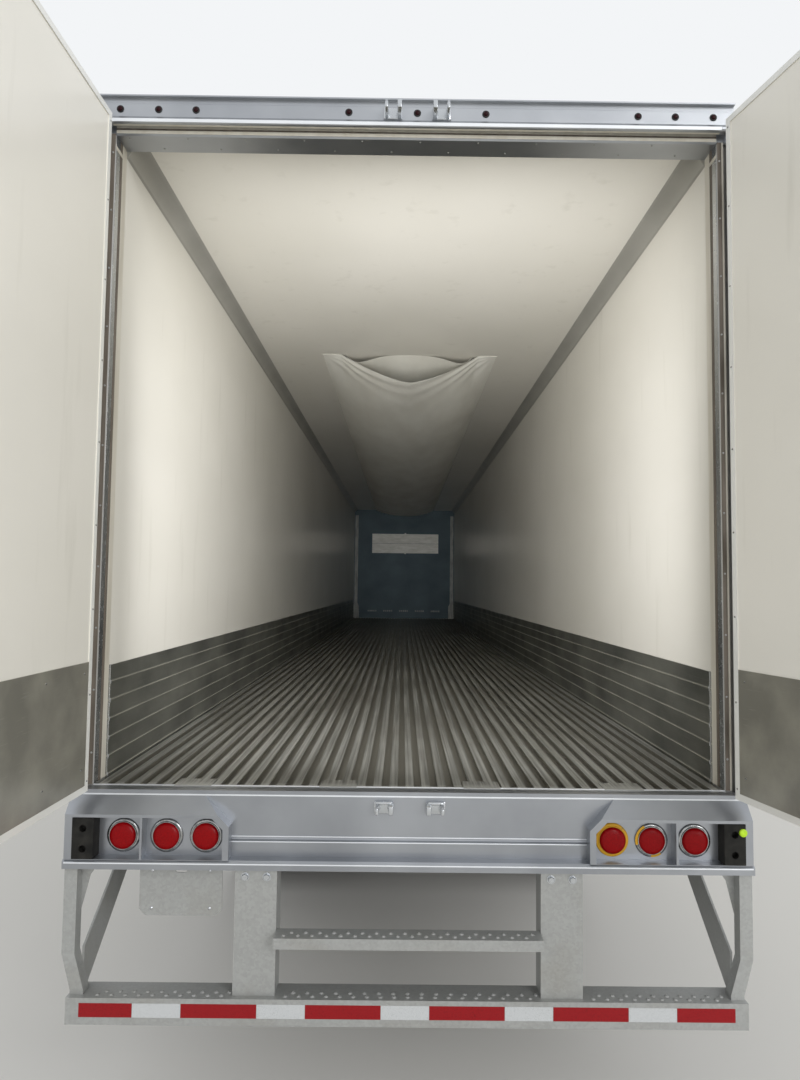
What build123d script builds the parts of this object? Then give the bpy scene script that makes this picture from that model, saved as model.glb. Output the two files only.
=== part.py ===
from build123d import *
import os
from math import asin, cos, degrees, pi, radians, sin

# A refrigerated box semi trailer on a sliding tandem, parked on its landing legs, both rear doors open.
# Millimetres. While it is modelled, x is to the right seen from behind, y runs forward from the rear
# frame's face and z is the height above the ground. At the end all of it moves so that the origin is on
# the kingpin's axis, level with the coupler plate's lower face.

# Body
body_width = 2591.0
body_length = 16079.0
header_top = 4115.0
header_rise = 20.0
roof_thickness = 75.0
wall_thickness = 50.0
rail_thickness = 7.5
rail_bevel = 8.0
rail_bevel_depth = 3.0
rail_cap = 5.0
lower_rail_rise = 73.0
upper_rail_depth = 110.0
front_wall_thickness = 100.0
front_rail_thickness = 12.0
front_rail_rise = 90.0
corner_radius = 50.0
post_lap = 2.0
side_lap = 3.0
frame_depth = 165.0

# Floor
floor_top = 1347.0
floor_bar_height = 35.0
floor_base = 5.0
core_thickness = 42.0
bar_pitch = 63.5
bar_flange = 33.0
bar_web = 4.0
dock_plates = ((-920.0, -775.0), (-353.0, -208.0), (211.0, 355.0), (765.0, 918.0))
dock_plate_depth = 100.0
dock_plate_rise = 3.0
member_depth = 102.0
member_pitch = 305.0
member_flange = 50.0
member_web = 6.0

# Rear frame
post_face = 17.5
jamb_width = 40.0
jamb_flat = 27.0
jamb_bevel = 6.0
jamb_groove = 20.0
header_height = 117.0
header_step = 23.0
header_lip_reach = 10.0
header_lip_height = 14.0
header_lip_slope = 15.0
header_soffit = 18.0
header_fold = 8.0
header_fold_height = 28.0
sill_drop = 12.0
sill_height = 267.0
sill_face = -20.0
sill_flange_reach = 75.0
sill_flange = 34.0
sill_crease = 100.0
sill_ridge = 6.0
threshold_groove = 6.0
threshold_groove_depth = 8.0
threshold_groove_y = 8.0
lamp_box_inner = 677.0
lamp_box_edge = 5.5
lamp_box_rise = 200.0
lamp_box_slope = 5.0
lamp_box_cut = 113.0
lamp_box_cut_drop = 50.0
lamp_box_rim = 23.0
lamp_recess_rise = 189.0
lamp_recess_corner = 42.0
lamp_recess_end = 1262.0
lamp_divider = 1005.0
lamp_divider_half = 4.0
lamp_places = (773.0, 923.0, 1087.0)
lamp_rise = 110.0
lamp_flange_radius = 64.0
lamp_lens_radius = 51.0
lamp_flange_depth = 8.0
lamp_depth = 26.0
lamp_sides = 10
pad_x = (1180.0, 1260.0)
pad_rise = (38.0, 187.0)
pad_depth = 60.0
pad_bolt_radius = 14.0
pad_bolt_depth = 28.0
marker_places = (0.0, 279.0, 900.0, 1052.0, 1207.0)
marker_drop = 58.0
marker_radius = 15.0
marker_depth = 9.0
side_marker_length = 100.0
side_marker_height = 30.0
side_marker_depth = 7.0
side_marker_rise = 147.0
side_marker_middle = 8000.0
side_marker_front = 400.0
top_marker_inset = 215.5

# Doors
door_thickness = 80.0
door_liner = 3.0
door_face = -40.0
door_seal_gap = 5.0
door_side_gap = 8.0
door_middle_gap = 16.0
door_bottom_gap = 10.0
door_top_gap = 13.0
door_scuff_height = 481.0
door_trim = 25.0
left_door_angle = 91.5
right_door_angle = 102.7
hinge_offset = 3.5
hinge_stand_off = 14.0
hinge_barrel = 12.0
hinge_pin = 8.0
hinge_play = 0.08
hinge_height = 60.0
hinge_lug = 30.0
hinge_lug_side = 1.5
hinge_lug_width = 14.5
hinge_lug_angles = (40.0, -220.0)
knuckle_angles = (110.0, -110.0)
hinge_gap = 2.0
hinge_count = 4
hinge_inset = 200.0
strap_length = 312.0
strap_thickness = 6.0
lock_x = 99.0
lock_stand_off = 19.0
lock_radius = 13.0
lock_low_reach = 60.0
lock_top_drop = 48.0
lock_guide_inset = 123.0
lock_guide_count = 4
lock_guide_height = 50.0
lock_guide_width = 48.0
lock_guide_depth = 34.0
handle_rise = 283.0
handle_height = 28.0
handle_length = 360.0
handle_thickness = 10.0
handle_catch = 30.0
keeper_gap = 40.0
keeper_cheek = 10.0
keeper_height = 46.0
keeper_margin = 7.0
keeper_plate = 6.0
keeper_overlap = 8.0

# Lining and the front end of the load space
scuff_thickness = 3.0
scuff_height = 450.0
scuff_rib = 4.0
scuff_rib_half = 6.0
scuff_pitch = 75.0
cove_size = 75.0
cove_radius = 97.0
bulkhead_setback = 239.0
bulkhead_thickness = 30.0
swage_places = (-660.0, -220.0, 220.0, 660.0)
swage_half = 12.0
swage_depth = 6.0
swage_rise = (353.0, 1503.0)
bulkhead_post_inset = 22.0
bulkhead_post_width = 76.0
bulkhead_post_depth = 40.0
bulkhead_post_drop = 140.0
post_foot_height = 363.0
post_foot_slope = 70.0
post_foot_inner = 36.0
post_foot_outer = 12.0
post_foot_skin = 6.0
hatch_x = (-794.0, 844.0)
hatch_drop = 593.0
hatch_leaf = 235.0
hatch_gap = 6.0
hatch_depth = 22.0
hatch_latch_x = (5.0, 45.0)
hatch_latch_depth = 12.0
hatch_latch_height = 55.0
hatch_latch_over = 20.0
vent_count = 5
vent_start = -778.0
vent_pitch = 389.0
vent_half = 115.0
vent_rise = 153.0
vent_slat = 24.0
vent_slats = 3
vent_depth = 16.0
chute_half = 709.0
chute_sag = 252.0
chute_start = 3100.0
chute_sheet = 4.0
chute_play = 0.3

# Rear guard
guard_inset = 36.5
guard_bottom = 515.0
guard_height = 95.0
guard_face = -85.0
guard_depth = 115.0
guard_wall = 6.0
guard_back_lip = 40.0
guard_under_cut = 50.0
post_inner = 495.0
post_outer = 652.0
post_back = -60.0
post_depth = 100.0
step_bottom = 807.0
step_height = 39.0
step_back = -124.0
step_depth = 83.0
strut_inset = 5.5
strut_width = 48.0
strut_foot_inset = 4.0
strut_foot_width = 50.0
strut_knee = 755.0
strut_toe = 625.0
strut_y = (-60.0, -10.0)
strut_web = 4.0
gusset_drop = 168.0
gusset_reach = 62.0
brace_inset = 26.0
brace_thickness = 8.0
brace_reach = 560.0
brace_width = 200.0
brace_knee = 760.0
plate_holder_inset = 268.5
plate_holder_width = 315.0
plate_holder_height = 195.0
plate_holder_corner = 24.0
plate_holder_notch = 36.0
plate_holder_half = 2.0

# Coupler
kingpin_setback = 914.0
coupler_drop = 8.0
coupler_inset = 195.5
coupler_rear = 810.0
coupler_sheet = 10.0
coupler_nose_rise = 46.0
coupler_nose_length = 90.0
coupler_rib = 12.0
coupler_rib_pitch = 350.0
coupler_rib_count = 5
coupler_channel = 60.0
coupler_channel_x = 430.0
kingpin_shoulder_radius = 36.5
kingpin_shoulder = 35.0
kingpin_neck_radius = 25.4
kingpin_neck = 35.0
kingpin_lip_radius = 35.7
kingpin_lip = 14.0

# Landing gear
landing_setback = 2667.0
leg_x = 780.0
leg_width = 120.0
leg_tube = 100.0
leg_joint = 430.0
leg_plate = 8.0
leg_plate_half = 150.0
leg_plate_height = 308.0
gearbox_depth = 50.0
gearbox_z = (760.0, 900.0)
foot_height = 60.0
foot_size = 250.0
foot_edge = 28.0
foot_toe = 18.0
foot_slope = 26.0
leg_overlap = 20.0
cross_channel_z = (560.0, 640.0)
cross_channel_half = 40.0
cross_channel_wall = 6.0
drive_shaft_z = 820.0
drive_shaft_radius = 16.0
brace_low_z = (520.0, 570.0)
brace_run = 900.0
brace_top = 60.0
leg_brace_thickness = 10.0
crank_z = 830.0
crank_radius = 13.0
crank_throw_x = 1180.0
crank_throw_half = 10.0
crank_throw_width = 15.0
crank_low = 560.0
crank_end = 1275.0

# Sliding frame and suspension
slider_bottom = 1010.0
slider_start = 300.0
slider_end = 6300.0
slider_wall = 10.0
slider_flange = 8.0
rail_inner = 430.0
rail_outer = 520.0
bogie_bottom = 865.0
bogie_wall = 10.0
bogie_overhang = 650.0
cross_width = 80.0
cross_places = (40.0, 1170.0, 1550.0, 2425.0)
hanger_rear = 70.0
hanger_front = 60.0
hanger_bottom = 560.0
hanger_wall = 12.0
hanger_slot_top = 720.0
arm_reach = 480.0
arm_half = 27.0
spring_reach = 380.0
spring_seat = 128.0
shock_radius = 28.0
shock_low = (120.0, 120.0)
shock_lean = 65.0
shock_mount = 30.0
shock_eye = 25.0
spring_base_radius = 80.0
spring_piston_radius = 92.0
spring_bag_radius = 130.0
spring_top_radius = 100.0
spring_sides = 10
axle_radius = 64.0
axle_seat = 60.0
axle_seat_height = 70.0
shield_x = 760.0
shield_radius = 180.0
shield_thickness = 12.0
chamber_x = 330.0
chamber_back = 110.0
chamber_rise = 60.0
chamber_radius = 78.0
chamber_length = 190.0
chamber_bracket = 45.0
chamber_drop = 20.0
flap_setback = 640.0
flap_half = 305.0
flap_bottom = 250.0
flap_thickness = 10.0
flap_bar_z = (940.0, 990.0)
flap_bar_depth = 25.0

# Wheels
rear_axle_y = 3050.0
axle_spread = 1245.0
wheel_x = 984.0
dual_offset = 168.0
wheel_sides = 16
tyre_radius = 510.0
tyre_width = 282.0
tyre_wall_radius = 400.0
tyre_shoulder_radius = 478.0
tyre_shoulder_inset = 13.0
tyre_crown_inset = 37.0
rim_radius = 292.0
rim_width = 210.0
rim_flange = 12.0
rim_lip = 7.0
rim_lip_depth = 12.0
disc_half = 26.0
disc_edge = 80.0
disc_edge_radius = 268.0
disc_bolt_radius = 165.0
disc_bore_radius = 100.0
hub_sides = 10
hub_bore = 50.0
hub_radius = 112.0
hub_neck = 30.0
hub_cap_radius = 74.0
hub_cap = 150.0
hub_cap_wall = 30.0
drum_radius = 213.0
drum_wall = 15.0
drum_back = 240.0
drum_front = 40.0
bearing_play = 0.1
spindle_shoulder = 50.0
spindle_tip = 108.0

# Fuel tank
tank_inset = 335.5
tank_radius = 280.0
tank_length = 1200.0
tank_setback = 2498.0
tank_drop = 300.0
tank_end_bevel = (25.0, 40.0)
tank_strap = 5.0
tank_strap_at = 200.0
tank_strap_width = 60.0
tank_sides = 14
saddle_half = 200.0
saddle_rise = 150.0
saddle_inset = 5.0
saddle_width = 50.0

# Refrigeration unit
unit_inset = 270.5
unit_drop = 35.0
unit_height = 2210.0
unit_depth = 430.0
unit_shell = 30.0
unit_front_shell = 45.0
unit_round = 90.0
engine_x = (-350.0, 450.0)
engine_height = 620.0
engine_gap = (20.0, 80.0)
grille_inset = 325.0
grille_frame = 40.0
grille_frame_depth = 20.0
grille_height = 1000.0
grille_drop = 560.0
grille_slats = 10
grille_depth = 16.0
grille_back = 4.0
grille_gap = 6.0
connector_half = 260.0
connector_height = 160.0
connector_drop = 37.0
connector_plate = 10.0
coupling_x = 170.0
coupling_radius = 34.0
coupling_length = 70.0
socket_radius = 42.0
socket_length = 50.0

# Places that follow from the sizes
half = body_width / 2
wall_outer = half - rail_thickness
wall_inner = wall_outer - wall_thickness
roof_top = header_top - header_rise
ceiling = roof_top - roof_thickness
core_top = floor_top - floor_bar_height
member_top = core_top - core_thickness
member_bottom = member_top - member_depth
coupler_half = half - coupler_inset
coupler_plane = member_bottom - coupler_drop
front_y = body_length - front_wall_thickness
kingpin_y = body_length - kingpin_setback
coupler_start = kingpin_y - coupler_rear
bulkhead_y = front_y - bulkhead_setback
landing_y = kingpin_y - landing_setback
header_bottom = header_top - header_height
step_z = header_bottom - header_step
sill_top = floor_top - sill_drop
sill_bottom = sill_top - sill_height
jamb_inner = half - post_face - jamb_width
door_back = door_face + door_thickness
jamb_setback = door_back + door_seal_gap
door_bottom = floor_top + door_bottom_gap
door_top = header_bottom - door_top_gap
door_edge = half - post_face - door_side_gap
hinge_x = half + hinge_offset
hinge_y = door_face - hinge_stand_off
lock_y = door_face - lock_stand_off
lock_low = sill_top - lock_low_reach
lock_high = header_top - lock_top_drop
guard_half = half - guard_inset
guard_top = guard_bottom + guard_height
arm_x = (rail_inner + rail_outer) / 2
axle_places = (rear_axle_y, rear_axle_y + axle_spread)
unit_half = half - unit_inset
grille_half = unit_half - grille_inset
unit_top = roof_top - unit_drop
unit_bottom = unit_top - unit_height


def block(x, y, z):
    """A rectangular solid between the pairs x, y and z."""
    middle = [(low + high) / 2 for low, high in (x, y, z)]
    return Pos(*middle) * Box(x[1] - x[0], y[1] - y[0], z[1] - z[0])


def run_x(sketch, x):
    """A (y, z) section run from x[0] to x[1]."""
    return extrude(Plane.YZ.offset(x[0]) * sketch, amount=x[1] - x[0], dir=(1, 0, 0))


def run_y(sketch, y):
    """An (x, z) section run from y[0] to y[1]."""
    return extrude(Plane.XZ.offset(-y[0]) * sketch, amount=y[1] - y[0], dir=(0, 1, 0))


def run_z(sketch, z):
    """An (x, y) section run from z[0] to z[1]."""
    return extrude(Plane.XY.offset(z[0]) * sketch, amount=z[1] - z[0], dir=(0, 0, 1))


def outline(*points):
    """A closed section through the points, always anticlockwise."""
    turns = sum(a[0] * b[1] - b[0] * a[1] for a, b in zip(points, points[1:] + points[:1]))
    return Polygon(*(points if turns > 0 else points[::-1]), align=None)


def rod(start, end, radius):
    """A round bar."""
    axis = Vector(*end) - Vector(*start)
    return Solid.make_cylinder(radius, axis.length, Plane(origin=start, z_dir=axis))


def bar(start, end, radius):
    """A slim round bar drawn with eight sides."""
    axis = Vector(*end) - Vector(*start)
    section = Plane(origin=start, z_dir=axis) * RegularPolygon(radius, 8)
    return extrude(section, amount=axis.length, dir=axis)


def turned(profile, sides, place):
    """A flat-sided turning round the place's z axis. The profile is a closed list of (along, radius)."""
    angles = [2 * pi * k / sides for k in range(sides)]
    faces = []
    for (low, inner), (high, outer) in zip(profile, profile[1:] + profile[:1]):
        if inner == 0 and outer == 0:
            continue
        ring = [place.from_local_coords((inner * cos(a), inner * sin(a), low)) for a in angles]
        after = [place.from_local_coords((outer * cos(a), outer * sin(a), high)) for a in angles]
        if low == high and (inner == 0 or outer == 0):
            faces.append(Face(Wire.make_polygon(after if inner == 0 else ring, close=True)))
            continue
        for k in range(sides):
            n = (k + 1) % sides
            faces.append(Face(Wire.make_polygon([ring[k], ring[n], after[n], after[k]], close=True)))
    return Solid(Shell(faces))


def across(origin, way=1):
    """A place whose z axis is +X, or -X, and whose first side starts straight down."""
    return Plane(origin=origin, x_dir=(0, 0, -1), z_dir=(way, 0, 0))


def along(origin, way=1):
    """A place whose z axis is +Y, or -Y."""
    return Plane(origin=origin, x_dir=(1, 0, 0), z_dir=(0, way, 0))


def upright(origin):
    """A place whose z axis is +Z."""
    return Plane(origin=origin, x_dir=(1, 0, 0), z_dir=(0, 0, 1))


def fuse(*solids):
    whole = solids[0]
    for solid in solids[1:]:
        whole = whole + solid
    return whole


def both(solid):
    return [solid, mirror(solid, Plane.YZ)]


# Floor

def floor_deck():
    """The ribbed deck: a base sheet with a row of T bars, and four dock plates at its rear end."""
    low = core_top
    base = core_top + floor_base
    under = floor_top - floor_base
    web = bar_web / 2
    edge = bar_flange / 2
    count = int((wall_inner - edge) / bar_pitch)
    points = [(-wall_inner, low), (-wall_inner, base)]
    for k in range(-count, count + 1):
        x = k * bar_pitch
        points += [(x - web, base), (x - web, under), (x - edge, under), (x - edge, floor_top)]
        points += [(x + edge, floor_top), (x + edge, under), (x + web, under), (x + web, base)]
    points += [(wall_inner, base), (wall_inner, low)]
    deck = run_y(outline(*points), (door_back, front_y))
    for x in dock_plates:
        deck += block(x, (door_back, door_back + dock_plate_depth), (under, floor_top + dock_plate_rise))
    return [deck]


def floor_core():
    inside = wall_outer - side_lap
    return [block((-inside, inside), (frame_depth, front_y), (member_top, core_top))]


def crossmembers():
    """C channels under the floor from the rear frame to the coupler."""
    members = []
    inside = wall_outer - side_lap
    low = member_bottom + member_web
    top = member_top - member_web
    count = int((coupler_start - frame_depth - member_flange) / member_pitch)
    for k in range(1, count + 1):
        y = frame_depth + k * member_pitch
        web = y + member_web
        edge = y + member_flange
        section = outline(
            (y, member_bottom), (edge, member_bottom), (edge, low), (web, low),
            (web, top), (edge, top), (edge, member_top), (y, member_top),
        )
        members.append(run_x(section, (-inside, inside)))
    return members


# Walls and roof

def side_wall():
    return block((wall_inner, wall_outer), (frame_depth, front_y), (core_top, ceiling))


def roof_panel():
    return [block((-wall_outer, wall_outer), (frame_depth, front_y), (ceiling, roof_top))]


def front_wall():
    """The nose wall with its bottom rail."""
    edge = wall_inner - post_lap
    wall = block((-edge, edge), (front_y, body_length), (member_bottom, roof_top))
    rail = (member_bottom, core_top + front_rail_rise)
    wall += block((-edge, edge), (body_length, body_length + front_rail_thickness), rail)
    return [wall]


def corner_posts():
    """Front corner extrusions with a round outer edge."""
    inner = wall_inner - post_lap
    section = outline((inner, front_y), (half, front_y), (half, body_length), (inner, body_length))
    section = fillet(section.vertices().sort_by(lambda v: v.X + v.Y)[-1], corner_radius)
    return both(run_z(section, (member_bottom, roof_top + rail_cap)))


def side_rails():
    """Lower rails that carry the floor, and upper rails that join wall and roof."""
    inside = wall_outer - side_lap
    bevel = half - rail_bevel_depth
    low_top = floor_top + lower_rail_rise
    lower = outline(
        (inside, member_bottom), (half, member_bottom), (half, low_top - rail_bevel), (bevel, low_top),
        (wall_outer, low_top), (wall_outer, core_top), (inside, core_top),
    )
    cap = roof_top + rail_cap
    high_bottom = roof_top - upper_rail_depth
    upper = outline(
        (wall_outer, high_bottom), (bevel, high_bottom), (half, high_bottom + rail_bevel), (half, cap),
        (wall_inner, cap), (wall_inner, roof_top), (wall_outer, roof_top),
    )
    span = (frame_depth, front_y)
    return both(run_y(lower, span)) + both(run_y(upper, span))


# Lining

def scuff_liners():
    """Ribbed metal strips along the foot of both walls."""
    inside = wall_inner - scuff_thickness
    base = core_top + floor_base
    top = floor_top + scuff_height
    points = [(wall_inner, base), (inside, base)]
    z = base + scuff_pitch / 2
    while z < top - 2 * scuff_rib_half:
        points += [(inside, z - scuff_rib_half), (inside - scuff_rib, z), (inside, z + scuff_rib_half)]
        z += scuff_pitch
    points += [(inside, top), (wall_inner, top)]
    return both(run_y(outline(*points), (frame_depth, bulkhead_y)))


def ceiling_coves():
    """Hollow mouldings in the corners between wall and ceiling."""
    inner, low = wall_inner - cove_size, ceiling - cove_size
    section = outline((wall_inner, ceiling), (inner, ceiling), (wall_inner, low))
    centre = cove_radius / 4
    section -= Pos(inner - centre, low - centre) * Circle(cove_radius)
    return both(run_y(section, (frame_depth, bulkhead_y)))


# Front end of the load space

def bulkhead():
    """The plate in front of the air space, with swaged ribs."""
    depth = (bulkhead_y, bulkhead_y + bulkhead_thickness)
    plate = block((-wall_inner, wall_inner), depth, (floor_top, ceiling))
    rise = [floor_top + z for z in swage_rise]
    for x in swage_places:
        plate += block((x - swage_half, x + swage_half), (bulkhead_y - swage_depth, bulkhead_y), rise)
    return [plate]


def bulkhead_posts():
    """Upright posts on the bulkhead, each with a wide pressed foot."""
    outer = wall_inner - bulkhead_post_inset
    inner = outer - bulkhead_post_width
    post = block((inner, outer), (bulkhead_y - bulkhead_post_depth, bulkhead_y),
                 (floor_top, ceiling - bulkhead_post_drop))
    left, right = inner - post_foot_inner, outer + post_foot_outer
    top = floor_top + post_foot_height
    shoulder = top - post_foot_slope
    foot = outline((left, floor_top), (right, floor_top), (right, shoulder), (outer, top), (inner, top),
                   (left, shoulder))
    foot = run_y(foot, (bulkhead_y - bulkhead_post_depth - post_foot_skin, bulkhead_y))
    return both(post + foot)


def bulkhead_panels():
    """The two leaves of the hatch with their latches, and the louvred vents near the floor."""
    back = bulkhead_y - hatch_depth
    latch_y = (back - hatch_latch_depth, back)
    top = ceiling - hatch_drop
    middle = top - hatch_leaf
    bottom = middle - hatch_gap - hatch_leaf
    upper = block(hatch_x, (back, bulkhead_y), (middle, top))
    upper += block(hatch_latch_x, latch_y,
                   (top + hatch_latch_over - hatch_latch_height, top + hatch_latch_over))
    lower = block(hatch_x, (back, bulkhead_y), (bottom, middle - hatch_gap))
    lower += block(hatch_latch_x, latch_y,
                   (bottom - hatch_latch_over, bottom - hatch_latch_over + hatch_latch_height))
    panels = [upper, lower]
    low = floor_top + vent_rise
    for k in range(vent_count):
        x = vent_start + vent_pitch * k
        points = [(bulkhead_y, low)]
        for step in range(vent_slats):
            z = low + vent_slat * step
            points += [(bulkhead_y - vent_depth, z), (bulkhead_y - vent_depth / 4, z + vent_slat - 2)]
        points += [(bulkhead_y, low + vent_slat * vent_slats)]
        panels.append(run_x(outline(*points), (x - vent_half, x + vent_half)))
    return panels


def air_chute():
    """A slung duct of thin sheet, hung at both edges from the ceiling."""
    radius = (chute_half ** 2 + chute_sag ** 2) / (2 * chute_sag)
    hang = ceiling - chute_play
    centre = hang - chute_sag + radius
    turn = degrees(asin(chute_half / radius))
    path = CenterArc((0, centre), radius, -90 - turn, 2 * turn)
    inner = CenterArc((0, centre), radius - chute_sheet, -90 - turn, 2 * turn)
    section = make_face([path, inner, Line(path @ 0, inner @ 0), Line(path @ 1, inner @ 1)])
    length = (chute_start, bulkhead_y)
    return [run_y(section, length) & block((-chute_half, chute_half), length, (hang - 2 * chute_sag, hang))]


# Rear frame

def keeper(face, low):
    """A plate on the face with two tapered cheeks that hold the end of a lock rod."""
    reach = lock_y - lock_radius / 2 - keeper_margin
    high = low + keeper_height
    taper = keeper_height / 5
    cheek = outline((face, low), (face, high), (reach, high - taper), (reach, low + taper))
    near = keeper_gap / 2
    far = near + keeper_cheek
    plate = block((lock_x - far - keeper_overlap, lock_x + far + keeper_overlap), (face - keeper_plate, face),
                  (low, high))
    return fuse(plate, run_x(cheek, (lock_x - far, lock_x - near)),
                run_x(cheek, (lock_x + near, lock_x + far)))


def rear_header():
    """The cross member above the doors: folded top edge, lamp face, rolled lip and grooved soffit."""
    lip = header_bottom + header_lip_height
    section = outline(
        (header_soffit, header_bottom), (jamb_bevel - header_lip_reach, header_bottom),
        (-header_lip_reach, header_bottom + jamb_bevel), (-header_lip_reach, lip),
        (0, lip + header_lip_slope),
        (0, header_top - header_fold_height - jamb_bevel), (header_fold, header_top - header_fold_height),
        (header_fold, header_top - jamb_bevel), (-header_fold, header_top - jamb_bevel),
        (-header_fold, header_top), (frame_depth, header_top), (frame_depth, step_z),
        (jamb_setback + jamb_bevel, step_z), (jamb_setback, step_z + jamb_bevel),
        (jamb_setback, header_bottom + jamb_groove), (header_soffit, header_bottom + jamb_groove),
    )
    header = run_x(section, (-half, half))
    for piece in both(keeper(0, lock_high - keeper_height + keeper_overlap)):
        header += piece
    return [header]


def nose(start, end):
    """Five points round the hinge pin, clockwise from the angle start to the angle end."""
    angles = [radians(start + (end - start) * k / 4) for k in range(5)]
    return [(hinge_x + hinge_barrel * cos(a), hinge_y + hinge_barrel * sin(a)) for a in angles]


def hinge_heights():
    low = door_bottom + hinge_inset
    high = door_top - hinge_inset - hinge_height
    return [low + (high - low) * k / (hinge_count - 1) for k in range(hinge_count)]


def rear_post():
    """The right post: a grooved jamb with the fixed lugs and pins of the hinges.

    The pins of the outer hinges are round, and those between them are drawn with eight sides.
    """
    face = half - post_face
    flat = jamb_inner + jamb_flat
    groove = jamb_setback + jamb_groove
    jamb = outline(
        (jamb_inner, frame_depth), (jamb_inner, jamb_setback + jamb_bevel),
        (jamb_inner + jamb_bevel, jamb_setback), (flat, jamb_setback), (flat, groove), (face, groove),
        (face, 0), (half, 0), (half, frame_depth),
    )
    post = run_z(jamb, (sill_top, step_z))
    post += block((face, half), (0, header_soffit), (step_z, header_bottom))
    side = face + hinge_lug_side
    lug = outline((side, 1), (side + hinge_lug_width, 1), *nose(*hinge_lug_angles))
    for number, low in enumerate(hinge_heights()):
        high = low + hinge_height
        outer = number in (0, hinge_count - 1)
        pin = Pos(hinge_x, hinge_y) * (Circle(hinge_pin) if outer else RegularPolygon(hinge_pin, 8))
        post += run_z(lug, (low - hinge_gap - hinge_lug, low - hinge_gap))
        post += run_z(lug, (high + hinge_gap, high + hinge_gap + hinge_lug))
        post += run_z(pin, (low - hinge_gap, high + hinge_gap))
    return post


def rear_sill():
    """The rear cross beam with its bumper flange, two lamp boxes, the grooved threshold and the keepers."""
    flange = sill_bottom + sill_flange
    crease = sill_bottom + sill_crease
    reach = -sill_flange_reach
    section = outline(
        (sill_face, sill_top), (door_back, sill_top), (door_back, core_top), (frame_depth, core_top),
        (frame_depth, sill_bottom), (reach, sill_bottom), (reach, flange - rail_bevel),
        (reach + rail_bevel, flange), (sill_face, flange),
    )
    sill = run_x(section, (-half, half))
    ridge = outline((sill_face, crease - rail_bevel), (sill_face - sill_ridge, crease),
                    (sill_face, crease + rail_bevel))
    sill += run_x(ridge, (-lamp_box_inner, lamp_box_inner))
    for piece in both(lamp_box()):
        sill += piece
    width = half - post_face - post_lap
    sill += block((-width, width), (sill_face, door_back), (sill_top, floor_top))
    sill -= block((-width, width), (threshold_groove_y, threshold_groove_y + threshold_groove),
                  (floor_top - threshold_groove_depth, floor_top + 1))
    for piece in both(keeper(sill_face, lock_low - keeper_overlap)):
        sill += piece
    return [sill]


def lamp_box():
    """The right lamp box: sloping top, cut inner corner and two recesses with a divider."""
    low = sill_bottom + sill_flange
    high = sill_bottom + lamp_box_rise
    reach = -sill_flange_reach
    through = (reach - 1, sill_face)
    side = outline((sill_face, low), (reach, low), (reach, high), (sill_face, sill_top - lamp_box_slope))
    shape = run_x(side, (lamp_box_inner, half - lamp_box_edge))
    corner = (lamp_box_inner - 7, high - lamp_box_cut_drop)
    cut = outline(corner, (corner[0], sill_top + 10), (corner[0] + lamp_box_cut + 14, sill_top + 10))
    shape -= run_y(cut, through)
    left = lamp_box_inner + lamp_box_rim
    right = lamp_divider - lamp_divider_half
    floor = low + 2
    top = sill_bottom + lamp_recess_rise
    recess = outline((left, floor), (left, top - lamp_recess_corner), (left + lamp_recess_corner, top),
                     (right, top), (right, floor))
    shape -= run_y(recess, through)
    return shape - block((lamp_divider + lamp_divider_half, lamp_recess_end), through, (floor, top))


def tail_lamps():
    """Six round lamps in the boxes, each a flange with a domed lens."""
    lamps = []
    profile = [
        (0, 0), (0, lamp_flange_radius), (lamp_flange_depth, lamp_flange_radius),
        (lamp_flange_depth, lamp_lens_radius), (lamp_depth, lamp_lens_radius - lamp_flange_depth),
        (lamp_depth, 0),
    ]
    for x in lamp_places:
        lamps += both(turned(profile, lamp_sides, along((x, sill_face, sill_bottom + lamp_rise), -1)))
    return lamps


def dock_pads():
    """Rubber blocks at both ends of the sill, each with two bolt holes."""
    low, high = (sill_bottom + rise for rise in pad_rise)
    back = sill_face - pad_depth
    middle = sum(pad_x) / 2
    pad = block(pad_x, (back, sill_face), (low, high))
    for z in (low + (high - low) / 4, high - (high - low) / 4):
        pad -= bar((middle, back - 1, z), (middle, back + pad_bolt_depth, z), pad_bolt_radius)
    return both(pad)


def marker_lamps_red():
    """Clearance lamps in the header and at the rear of both sides."""
    lamps = []
    profile = [(0, 0), (0, marker_radius), (marker_depth, marker_radius * 0.6), (marker_depth, 0)]
    for x in marker_places:
        lamp = turned(profile, 8, along((x, 0, header_top - marker_drop), -1))
        lamps += both(lamp) if x else [lamp]
    start = 2 * frame_depth - side_marker_height
    return lamps + both(side_marker(start))


def side_marker(start):
    low = sill_bottom + side_marker_rise
    return block((half, half + side_marker_depth), (start, start + side_marker_length),
                 (low, low + side_marker_height))


def marker_lamps_amber():
    lamps = both(side_marker(side_marker_middle)) + both(side_marker(front_y - side_marker_front))
    top = header_top - marker_drop + marker_radius
    inner = half - top_marker_inset
    nose_lamp = block((inner, inner + side_marker_length),
                      (body_length, body_length + side_marker_depth), (top - side_marker_height, top))
    return lamps + both(nose_lamp)


# Rear guard

def guard_beam():
    """A channel with a step on top and closed ends."""
    back = guard_face + guard_depth
    top = guard_top
    wall = guard_wall
    cut = back - guard_under_cut
    section = outline(
        (guard_face, guard_bottom), (guard_face, top), (back, top), (back, top - guard_back_lip),
        (back - wall, top - guard_back_lip), (back - wall, top - wall), (guard_face + wall, top - wall),
        (guard_face + wall, guard_bottom + wall), (cut, guard_bottom + wall), (cut, guard_bottom),
    )
    beam = run_x(section, (-guard_half, guard_half))
    cap = outline((guard_face, guard_bottom), (guard_face, top), (back, top), (cut, guard_bottom))
    beam += run_x(cap, (guard_half - wall, guard_half))
    beam += run_x(cap, (-guard_half, -guard_half + wall))
    return [beam]


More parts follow.
